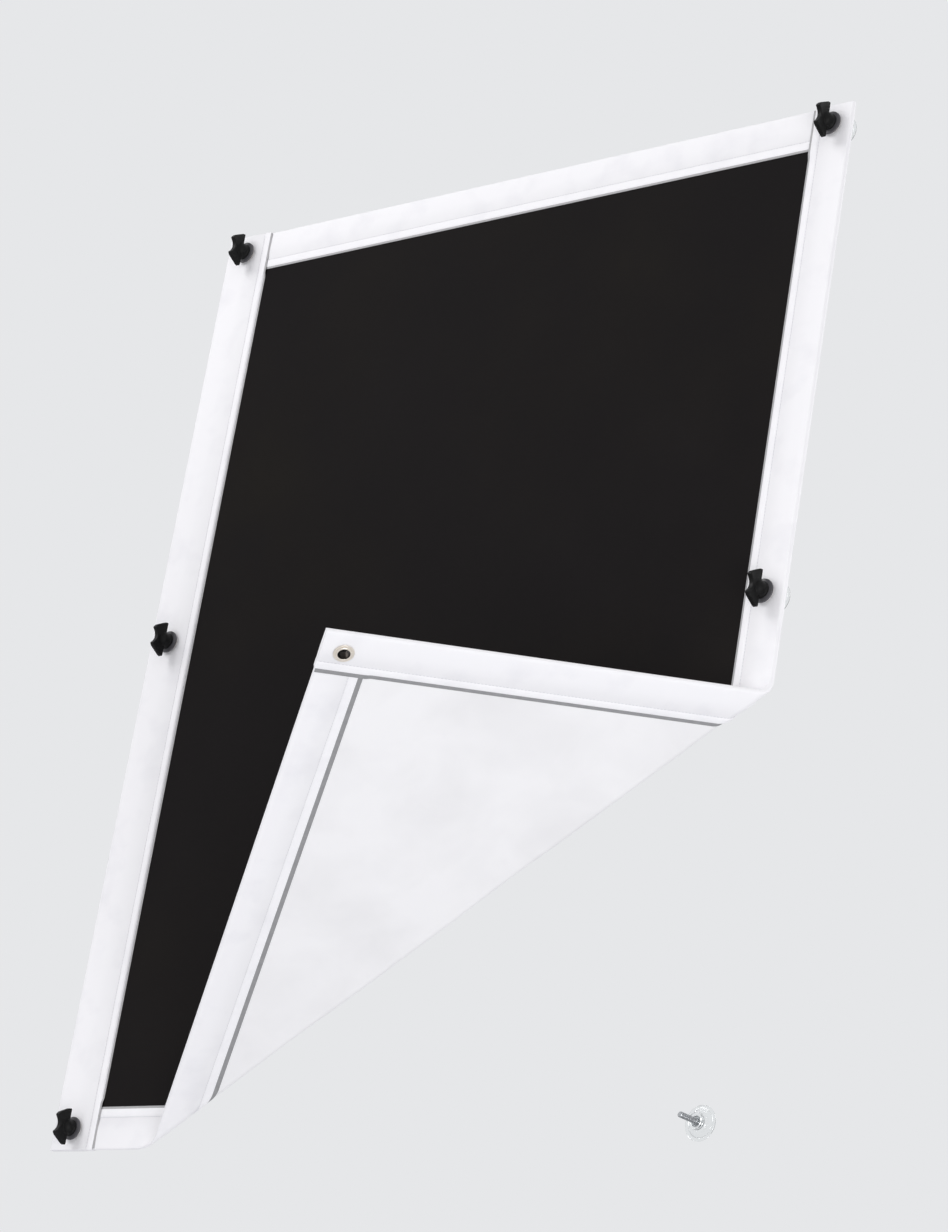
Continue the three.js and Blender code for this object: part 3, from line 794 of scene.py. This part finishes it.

# %% [markdown]
# Laying them on the bands
#
# A path is a bare line of points in the flat state. Its height comes from the same functions as the
# band's section, so a stitch lies in its groove and the shadow strip on the cloth, also where the
# side bands climb. The modifier's inputs are set by their identifiers before the piece is evaluated,
# and the plain mesh that comes out is folded with everything else.

# %% Lay tape and stitches
# Painted shadow strips along the bands' inner edges: narrow and light in front, wide and dark at the back.
SHADOW_STRIPS = (("front", 1, 1.45 * MM, 0.7 * MM, painted_shadow_front), ("back", -1, 2.4 * MM, 1.7 * MM, painted_shadow_back))
STRIP_HALF_THICKNESS = 0.2 * MM
STITCH_PITCH = 3.1 * MM
STITCH_HALF = 1.2 * MM
THREAD_RADIUS = 0.24 * MM
PATH_STEP = 1.5 * MM


def follow(name, tree, sizes, place, w, height, ends, faces=(1, -1)):
    low, high = ends
    points, edges = [], []
    for face in faces:
        for s in np.linspace(low, high, round((high - low) / PATH_STEP) + 1):
            if s > low:
                edges.append((len(points) - 1, len(points)))
            x, z = place(w, s)
            points.append((x, -(STANDOFF + face * height(s)), z))
    path = linked(name, raw_mesh(name, points, edges, []))
    return fold_over(run_tree(path, tree, sizes))


def sewn(side, kind, place, strip_ends, stitch_ends):
    def in_groove(s):
        return outer_height(kind, kind["width"] - RIDGE, s, 1) + THREAD_RADIUS / 2

    def on_cloth(s):
        return ground(s, kind) + STRIP_HALF_THICKNESS

    made = [follow("stitches_" + side, stitch_tree, {
        "Pitch": STITCH_PITCH, "Half length": STITCH_HALF, "Thread radius": THREAD_RADIUS,
        "Finish": sewing_thread,
    }, place, kind["width"] - RIDGE, in_groove, stitch_ends)]
    for name, face, half_width, out, finish in SHADOW_STRIPS:
        made.append(follow(f"seam_{side}_{name}", shadow_strip_tree, {
            "Step": PATH_STEP, "Half width": half_width,
            "Half thickness": STRIP_HALF_THICKNESS, "Finish": finish,
        }, place, kind["width"] + out, on_cloth, strip_ends, (face,)))
    return made


side_strip = (-HALF_HEIGHT + 0.8 * MM, HALF_HEIGHT - 0.8 * MM)
side_stitches = (-HALF_HEIGHT + 3 * MM, HALF_HEIGHT - 3 * MM)
end_strip = (BAND_LEFT_X - 3 * MM, BAND_RIGHT_X + 3 * MM)
end_stitches = (BAND_LEFT_X + 1 * MM, BAND_RIGHT_X - 1 * MM)
sewing = {}
for side, (kind, reach, place) in BAND_PLANS.items():
    ends = (end_strip, end_stitches) if kind is END else (side_strip, side_stitches)
    sewing[side] = sewn(side, kind, place, *ends)
print("faces of stitches:", sum(len(made[0].data.polygons) for made in sewing.values()))

# %% [markdown]
# Round pieces
#
# Cups, studs, eyelets and washers are all bodies of revolution. A Screw modifier could turn them,
# but their axis is the sheet's own depth, so it is as short to turn the profile in code. A profile
# is a list of radius and height in millimetres, with the height counted forwards from the plane on
# which the cups stand. It either runs from axis to axis or, for a ring, closes on itself.

# %% Turn a profile
ROUND = 64


def arc(radius, height, reach_r, reach_h, start, stop, steps):
    angles = np.radians(np.linspace(start, stop, steps + 1))
    return [(radius + reach_r * math.cos(a), height + reach_h * math.sin(a)) for a in angles]


def turned(name, profile, x, z, finish, ring=False):
    points, rows = [], []
    for radius, height in profile:
        if radius == 0:
            rows.append([len(points)] * ROUND)
            points.append((x, -height * MM, z))
            continue
        rows.append(list(range(len(points), len(points) + ROUND)))
        for i in range(ROUND):
            a = 2 * math.pi * i / ROUND
            points.append((x + radius * MM * math.cos(a), -height * MM, z + radius * MM * math.sin(a)))
    return shell(name, points, quads(rows + rows[:1] if ring else rows), finish)


print("round pieces have", ROUND, "sides")

# %% [markdown]
# Nickel, and the eyelets
#
# An eyelet is two parts: a domed flange with a barrel, pushed through from the front, and a dished
# washer at the back over which the barrel's end is rolled. The nickel is a little warm and not quite
# clean: it mirrors softly, with a roughness that changes from place to place, so that the ring reads
# as thin grey edges round a cream middle. Inside the barrel its colour is darkened as painted shade,
# and the points of the bore carry a mark that tells the finish where.

# %% Eyelets
METAL = {"Metallic": 1.0}
nickel, add, shader, spot, bright = worn_finish(
    "eyelet_nickel", 3.846 * MM, 4.0, "#fbf3e8", "#ece3d6", (0.28, 0.44), METAL,
)
# Painted shade: points inside the bore get a near-black brown in place of the nickel colour.
bore_shade_mark = add("ShaderNodeAttribute", attribute_name="inside")
shades = {0: bore_shade_mark.outputs["Fac"], 6: bright, 7: tint("#2b2724")}
feed(shader, {"Base Color": add("ShaderNodeMix", shades, data_type="RGBA").outputs[2]})

MIDDLE = STANDOFF / MM
HOLE = HOLE_RADIUS / MM
BORE = 5.0
BARREL = 5.5
FLANGE = 8.8
FLANGE_FOOT = MIDDLE + 3.3
FLANGE_TOP = MIDDLE + 4.55
LIP_RADIUS = 7.0
LIP_FOOT = MIDDLE - 4.2
LIP_TOP = MIDDLE - 4.85
WASHER_FOOT = MIDDLE - 3.3
WASHER_TOP = MIDDLE - 4.05

flange_profile = [(BARREL, FLANGE_FOOT + 0.3), (BARREL + 0.5, FLANGE_FOOT + 0.3)]
flange_profile += [(FLANGE - 0.5, FLANGE_FOOT)]
flange_profile += arc(
    (BORE + FLANGE) / 2, FLANGE_FOOT + 0.15, (FLANGE - BORE) / 2, FLANGE_TOP - FLANGE_FOOT - 0.15,
    0, 180, 18,
)
flange_profile += arc(
    (BORE + LIP_RADIUS) / 2, LIP_FOOT, (LIP_RADIUS - BORE) / 2, LIP_TOP - LIP_FOOT, 180, 0, 12,
)
flange_profile += [(LIP_RADIUS - 0.25, LIP_FOOT + 0.02), (BARREL, LIP_FOOT + 0.02)]
washer_profile = [(HOLE, WASHER_FOOT - 0.2), (FLANGE - 0.2, WASHER_FOOT)]
washer_profile += arc(FLANGE - 0.25, WASHER_FOOT - 0.25, 0.25, 0.25, 45, -90, 6)
washer_profile += [(7.6, WASHER_TOP + 0.2), (6.9, WASHER_TOP), (HOLE, WASHER_TOP)]

eyelets = {}
for name, (x, z) in places.items():
    flange = turned("eyelet_ring_" + name, flange_profile, x, z, nickel, ring=True)
    radii = np.hypot(*(coordinates(flange.data)[:, [0, 2]] - np.array([x, z])).T) / MM
    # Marks the bore's points for the painted shade inside the barrel.
    note(flange.data, "inside", np.clip((BARREL - radii) / 0.4, 0, 1) * (radii < BARREL - 0.05))
    fold_over(flange)
    washer = fold_over(turned("eyelet_back_" + name, washer_profile, x, z, nickel, ring=True))
    eyelets[name] = (flange, washer)
print("eyelets made:", len(eyelets))

# %% [markdown]
# Clear plastic, and the suction cups
#
# A cup is cast in soft clear plastic: a thin bell with a flat rim, and a thick neck that holds the
# head of the stud. The eye sees mostly its edges, where the light bends. Full transmission with a
# low roughness gives that, and a faint uneven surface keeps it from looking like cut crystal.

# %% Suction cups
CAST_PATCH = 8.333 * MM
clear_plastic, add, shader, spot = new_finish("clear_plastic")
cast = add("ShaderNodeTexNoise", {"Vector": spot, "Scale": 1 / CAST_PATCH, "Detail": 2.0})
haze = add("ShaderNodeMapRange", {0: cast, 1: 0.3, 2: 0.7, 3: 0.04, 4: 0.14})
cast_bump = add("ShaderNodeBump", {"Height": cast, "Strength": 0.15, "Distance": 0.4 * MM})
feed(shader, {
    "Base Color": tint("#f6f8f8"), "Roughness": haze, "Normal": cast_bump,
    "Transmission Weight": 1.0, "IOR": 1.4,
})

CUP = 15.0
CUP_RIM = 2.8
CUP_HOLLOW = 3.0
CUP_BELL = 5.6
CUP_NECK = 7.0
CUP_SHOULDER = 8.4
CLEARANCE = 2.8
POCKET = 4.8
POCKET_FLOOR = 4.0
POCKET_TOP = 6.6
cup_profile = arc(0, 0, CUP - CUP_RIM, CUP_HOLLOW, 90, 0, 16)
cup_profile[0] = (0, CUP_HOLLOW)
cup_profile += [(CUP - 0.3, 0), (CUP, 0.3), (CUP, 0.75), (CUP - 0.25, 1.0)]
cup_profile += arc(CUP, CUP_BELL, CUP_NECK - CUP, 1.0 - CUP_BELL, 84, 0, 16)
cup_profile += [(CUP_NECK, CUP_BELL + 0.4), (CUP_NECK - 0.25, CUP_BELL + 0.7)]
cup_profile += [(CUP_NECK - 0.25, CUP_BELL + 1.1), (CUP_NECK, CUP_BELL + 1.4)]
cup_profile += arc(CUP_NECK - 0.5, CUP_SHOULDER - 0.5, 0.5, 0.5, 0, 90, 5)
cup_profile += [(CLEARANCE, CUP_SHOULDER), (CLEARANCE, POCKET_TOP), (POCKET, POCKET_TOP)]
cup_profile += [(POCKET, POCKET_FLOOR), (0, POCKET_FLOOR)]
cups = {name: turned("cup_" + name, cup_profile, *places[name], clear_plastic) for name in places}
print("cups made:", len(cups))

# %% [markdown]
# Steel, and the threaded studs
#
# A stud is a turned core with a head, and a thread of 0.8 mm pitch. The thread is a helix with a
# small section swept along it, the plainest use of a Spiral node. The tree turns it to lie along the
# sheet's depth and joins it to the core that it is given, so both come out as one mesh.

# %% The thread tree
thread_tree, add, given = new_tree("Threaded stud", ("Start", "Length", "Rise", "Radius", "Depth"))
turns = add("ShaderNodeMath", {0: given["Length"], 1: given["Rise"]}, operation="DIVIDE")
radius = given["Radius"]
helix = add("GeometryNodeCurveSpiral", {
    "Resolution": 24, "Rotations": turns, "Start Radius": radius, "End Radius": radius,
    "Height": given["Length"],
})
diamond = add("GeometryNodeCurvePrimitiveCircle", {"Resolution": 4, "Radius": given["Depth"]})
wound = add("GeometryNodeCurveToMesh", {"Curve": helix, "Profile Curve": diamond, "Fill Caps": True})
start = add("ShaderNodeCombineXYZ", {1: given["Start"]})
moves = {"Geometry": wound, "Translation": start, "Rotation": (math.pi / 2, 0, 0)}
lying = add("GeometryNodeTransform", moves)
both = add("GeometryNodeJoinGeometry", {0: lying})
thread_tree.links.new(given["Geometry"], both.inputs[0])
close_tree(add, both, given)
print("tree:", thread_tree.name)

# %% Threaded studs
steel = worn_finish("stud_steel", 1.111 * MM, 3.0, "#b9bbbd", "#9a9c9f", (0.25, 0.42), METAL)[0]
STUD_END = 28.6
CORE = 2.2
HEAD = 4.5
HEAD_FOOT = 4.3
HEAD_TOP = 6.3
BEVEL = 0.3
SHANK = 2.5
THREAD_START = 9.0
THREAD_SIZES = {
    "Start": -THREAD_START * MM, "Length": (STUD_END - THREAD_START - 0.8) * MM, "Rise": 0.8 * MM,
    "Radius": 2.24 * MM, "Depth": 0.26 * MM, "Finish": steel,
}
stud_profile = [(0, HEAD_FOOT), (HEAD - BEVEL, HEAD_FOOT), (HEAD, HEAD_FOOT + BEVEL)]
stud_profile += [(HEAD, HEAD_TOP - BEVEL), (HEAD - BEVEL, HEAD_TOP), (SHANK, HEAD_TOP), (SHANK, 8.8)]
stud_profile += [(CORE, 9.1), (CORE, STUD_END - 0.6), (CORE - 0.5, STUD_END), (0, STUD_END)]
model_stud = turned("stud_model", stud_profile, 0, 0, steel)
run_tree(model_stud, thread_tree, THREAD_SIZES)


def copied(model, name, x, y, z):
    mesh = model.data.copy()
    place_points(mesh, coordinates(mesh) + np.array([x, y, z]))
    return linked(name, mesh)


studs = {}
for name, (x, z) in places.items():
    studs[name] = copied(model_stud, "threaded_stud_" + name, x, 0, z)
bpy.data.objects.remove(model_stud)
print("faces in a stud:", len(studs["top_left"].data.polygons))

# %% [markdown]
# Moulded plastic
#
# The wing nuts are moulded in black plastic with a fine grain, and the pressure washers in a dark
# grey one that is a little smoother. The grain is a bump in patches of 0.25 mm, and slow changes of
# roughness stand for the touch of fingers. Neither is pure black, or the shapes would be lost.

# %% Plastic finishes
def moulded(name, dark, light, rough, shine):
    gloss = {"Specular IOR Level": shine}
    finish, add, shader, spot, colour = worn_finish(name, 7.14 * MM, 3.0, dark, light, rough, gloss)
    feed(shader, {"Normal": grain(add, spot, 0.25 * MM, 1.0, 0.2, 0.05 * MM)})
    return finish


black_plastic = moulded("black_plastic", "#070707", "#0d0d0d", (0.5, 0.62), 0.2)
grey_plastic = moulded("grey_plastic", "#474649", "#59585c", (0.36, 0.5), 0.3)
print("moulded finishes:", black_plastic.name, grey_plastic.name)

# %% [markdown]
# Pressure washers
#
# A pressure washer spreads the nut's push over the eyelet. It is a plain disc, but its edges are
# rounded and its front has a shallow ring-shaped step, which catches a thin line of light.

# %% Pressure washers
WASHER = 10.8
WASHER_BACK = 18.4
WASHER_FRONT = 20.6
WASHER_EDGE = 0.6
washer_disc = arc(WASHER - WASHER_EDGE, WASHER_BACK + WASHER_EDGE, WASHER_EDGE, WASHER_EDGE, -90, 0, 6)
washer_disc += arc(WASHER - WASHER_EDGE, WASHER_FRONT - 0.75, WASHER_EDGE, WASHER_EDGE, 0, 90, 6)
washer_disc += [(9.8, WASHER_FRONT - 0.12), (9.5, WASHER_FRONT)]
washer_disc += [(CLEARANCE, WASHER_FRONT), (CLEARANCE, WASHER_BACK)]
clamped = [name for name in places if name != "bottom_right"]
washers = {}
for name in clamped:
    washers[name] = turned("pressure_washer_" + name, washer_disc, *places[name], grey_plastic, ring=True)
print("pressure washers:", len(washers))

# %% [markdown]
# Wing nuts
#
# A wing nut is a flanged hub with a domed top and two fan-shaped wings, moulded in one, and the
# wings' outer edges carry small grip ribs. Joined by a Boolean the parts would meet in knife-sharp
# corners. So the overlapping parts are remeshed into one skin in steps of 0.3 mm and smoothed,
# which leaves the small fillets of a moulding, and the bore for the stud is cut at the end. The
# ribs are set along the wings by Geometry Nodes. One nut is made and copied to the five places.

# %% Ribs along the wing edges
NUT_HEIGHT = 19.0
WING_LOW = 4.4
WING_HALF = 17.6
WING_TIP = 9.3
WING_THICK = 4.6
RIB_SPAN = (0.2, 0.84)

rib_tree, add, given = new_tree("Grip ribs", ("Pitch", "Rib radius", "Rib length"))
marks = points_along(add, given)
sizes = {"Vertices": 12, "Radius": given["Rib radius"], "Depth": given["Rib length"]}
rod = add("GeometryNodeMeshCylinder", sizes)
placed = {"Points": marks, "Instance": rod, "Rotation": (0, math.pi / 2, 0)}
close_tree(add, add("GeometryNodeInstanceOnPoints", placed), given)

edge_points = []
for side in (1, -1):
    low = Vector((side * WING_HALF, WING_LOW))
    high = Vector((side * WING_TIP, NUT_HEIGHT))
    for share in RIB_SPAN:
        spot = low.lerp(high, share)
        edge_points.append((0, -spot.y * MM, spot.x * MM))
rib_mesh = raw_mesh("grip_ribs", edge_points, [(0, 1), (2, 3)], [])
grip_ribs = run_tree(linked("grip_ribs", rib_mesh), rib_tree, {
    "Pitch": 1.55 * MM, "Rib radius": 0.62 * MM, "Rib length": (WING_THICK - 0.3) * MM,
    "Finish": black_plastic,
})
print("faces of ribs:", len(grip_ribs.data.polygons))

# %% Wings and hub
WING_CORNER = 2.0
TIP_CORNER = 0.9 * WING_CORNER
VALLEY = 11.0
HUB = 7.2
HUB_TOP = 11.6
HUB_DOME = 5.6


def bow(a, control, b, steps=8):
    found = []
    for t in np.linspace(0, 1, steps + 1):
        found.append(a * (1 - t) ** 2 + control * 2 * t * (1 - t) + b * t ** 2)
    return found


corner = Vector((WING_HALF, WING_LOW))
tip = Vector((WING_TIP, NUT_HEIGHT))
lean = (tip - corner).normalized() * WING_CORNER
tip_inside = tip - Vector((TIP_CORNER, 0))
other_tip = Vector((-tip_inside.x, tip_inside.y))
outline = bow(corner - Vector((WING_CORNER, 0)), corner, corner + lean)
outline += bow(tip - lean, tip, tip_inside)
outline += [p for p in bow(tip_inside, Vector((0, VALLEY)), other_tip, 24) if p.x > 0.01][1:]
outline += [Vector((-p.x, p.y)) for p in reversed(outline)]
count = len(outline)
wing_points = []
for thick in (-WING_THICK / 2, WING_THICK / 2):
    wing_points += [(thick * MM, -p.y * MM, p.x * MM) for p in outline]
flanks = [list(range(count)), list(range(count, 2 * count))]
wings = shell("wings", wing_points, flanks + quads(flanks), black_plastic)
hub_profile = [(0, 0), (7.5, 0), (7.9, 0.4), (7.9, 1.8), (7.6, 2.2), (7.4, 2.5), (HUB, 3.2)]
hub_profile += arc(0, HUB_TOP - HUB_DOME, HUB, HUB_DOME, 0, 90, 12)[:-1] + [(0, HUB_TOP)]
hub = turned("hub", hub_profile, 0, 0, black_plastic)
print("points round the wings:", count)

# %% Skin, fillets and bore
SKIN = 0.3 * MM
BORE_DEPTH = 8.8
NUT_FOOT = 20.9
together = bmesh.new()
for piece in (wings, hub, grip_ribs):
    together.from_mesh(piece.data)
model_nut = linked("wing_nut_model", baked("wing_nut_model", together))
model_nut.data.materials.append(black_plastic)
skin = model_nut.modifiers.new("skin", "REMESH")
skin.mode = "VOXEL"
skin.voxel_size = SKIN
fillet = model_nut.modifiers.new("fillets", "SMOOTH")
fillet.factor = 0.5
fillet.iterations = 5
settle(model_nut)
bore_profile = [(0, -2), (CLEARANCE, -2), (CLEARANCE, BORE_DEPTH), (0, BORE_DEPTH)]
bore = turned("bore", bore_profile, 0, 0, black_plastic)
cut_away(model_nut, bore)
model_nut.data.shade_smooth()
model_nut.data.set_sharp_from_angle(angle=math.radians(50))
nuts = {}
for name in clamped:
    x, z = places[name]
    nuts[name] = copied(model_nut, "moulded_nut_" + name, x, -NUT_FOOT * MM, z)
for scrap in (wings, hub, grip_ribs, bore, model_nut, punch):
    bpy.data.objects.remove(scrap)
print("faces in a nut:", len(nuts["top_left"].data.polygons))

# %% [markdown]
# What moves with what
#
# Pieces that never cross the fold are tied to a body of the imported model and ride along. Pieces
# that cross the fold were bent already, and stay where they stand, tied to no body. Each piece hides
# the CAD nodes it stands for. The nodes of a piece that crosses the fold are three: the flat part,
# the bent strip and the corner.

# %% Tie the pieces to the bodies
def tie(obj, body, slot=None, *nodes):
    if body == "both":
        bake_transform(obj)
    else:
        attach(obj, body)
    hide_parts(*nodes)


def in_three(node):
    return node, node + "_crease", node + "_corner"


tie(face_cloth, "both", "black_cloth", *in_three("face_ply"))
tie(reverse_cloth, "both", "pale_coating", *in_three("reverse_ply"))
for side, strip in bands.items():
    body = "both" if side in ("right", "bottom") else "sheet"
    nodes = in_three("band_" + side) if body == "both" else ["band_" + side]
    tie(strip, body, "white_band", *nodes)
    row, *shadow_strips = sewing[side]
    tie(row, body, "white_band")
    for shadow_line in shadow_strips:
        tie(shadow_line, body)
for name in places:
    flange, washer = eyelets[name]
    for obj, node, slot in (
        (flange, "eyelet_", "eyelet_nickel"), (washer, "eyelet_washer_", "eyelet_nickel"),
        (cups[name], "suction_cup_", "clear_plastic"), (studs[name], "stud_", "stud_steel"),
        (washers.get(name), "nut_washer_", "grey_plastic"), (nuts.get(name), "wing_nut_", "black_plastic"),
    ):
        if obj:
            tie(obj, carrier[node + name], slot, node + name)

# %% [markdown]
# The cloth
#
# The two layers are sheets of cloth, and the eyelets' places are what holds both of them.

# %% [markdown]
# Floor
#
# The blind hangs in the air here, over a plain pale floor that lies low enough to stay out of the
# lower lamp's beam. The floor adds a little of the backdrop's brightness for the camera alone, so
# that floor and backdrop meet quietly, and it still takes the shadow.

# %% Floor
FLOOR = -2.6
FLOOR_RADIUS = 12
FLOOR_SIDES = 96
FLOOR_LIFT = 0.24
BACKDROP = tint("#e6e7e9")
floor_finish, add, shader, spot = new_finish("floor_paint")
floor_colour = mottle(add, spot, 1667 * MM, 2.0, "#e2e3e5", "#e8e9eb")[1]
floor_ray = add("ShaderNodeLightPath").outputs["Is Camera Ray"]
lifted = add("ShaderNodeMath", {0: floor_ray, 1: FLOOR_LIFT}, operation="MULTIPLY")
feed(shader, {
    "Base Color": floor_colour, "Roughness": 0.9,
    "Emission Color": BACKDROP, "Emission Strength": lifted,
})
floor_points = [
    (FLOOR_RADIUS * math.cos(a), FLOOR_RADIUS * math.sin(a), FLOOR)
    for a in np.linspace(0, 2 * math.pi, FLOOR_SIDES + 1)[:-1]
]
floor_mesh = raw_mesh("floor", floor_points, [], [tuple(range(FLOOR_SIDES))])
floor_mesh.materials.append(floor_finish)
floor = linked("floor", floor_mesh)
floor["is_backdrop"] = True
print("floor at", FLOOR, "m")

# %% [markdown]
# Backdrop and light
#
# The world gives an even soft light and, for what the camera, a mirror or a clear cup sees
# directly, the pale backdrop colour. Two large lamps add direction: one high on the left for the
# folds and the nuts, one low on the right for the open corner, whose pale side looks down. Together
# they light a surface that faces forward about once over, so that a colour looks as it was written.
# A third one lights the back.

# %% Backdrop
SOFT_LIGHT = 0.655
world = bpy.data.worlds.new("backdrop")
world.use_nodes = True
bpy.context.scene.world = world
world.node_tree.nodes.clear()
add = adder(world.node_tree)
ray = add("ShaderNodeLightPath").outputs
rays = {0: ray["Is Camera Ray"], 1: ray["Is Glossy Ray"]}
mirror_too = add("ShaderNodeMath", rays, operation="MAXIMUM")
seen = add("ShaderNodeMath", {0: mirror_too, 1: ray["Is Transmission Ray"]}, operation="MAXIMUM")
soft_light = add("ShaderNodeBackground", {"Color": tint("#f7f7f8"), "Strength": SOFT_LIGHT})
pale = add("ShaderNodeBackground", {"Color": BACKDROP, "Strength": 1.0})
choose = add("ShaderNodeMixShader", {0: seen, 1: soft_light, 2: pale})
add("ShaderNodeOutputWorld", {"Surface": choose})
print("soft light:", SOFT_LIGHT)

# %% Lamps
def lamp(name, place, aim, size, watts):
    data = bpy.data.lights.new(name, "AREA")
    data.size = size
    data.energy = watts
    obj = linked(name, data)
    obj.location = place
    obj.rotation_mode = "QUATERNION"
    obj.rotation_quaternion = (Vector(aim) - Vector(place)).to_track_quat("-Z", "Y")


lamp("high_left", (-2.0, -2.6, 2.2), (0, 0, 0), 1.8, 62)
lamp("low_right", (2.6, -1.5, -1.45), (0.1, 0, -0.2), 1.4, 40)
lamp("behind", (1.9, 3.0, 1.6), (0, 0, 0), 1.8, 34)
bpy.context.scene.view_settings.view_transform = "Standard"
print("lamps:", len(bpy.data.lights))

# %% Sizes and finish
visual_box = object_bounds()
growth = [round((v - c) / MM, 1) for v, c in zip(visual_box[1], cad_box[1])]
print("grows by", growth, "mm at the high corner")
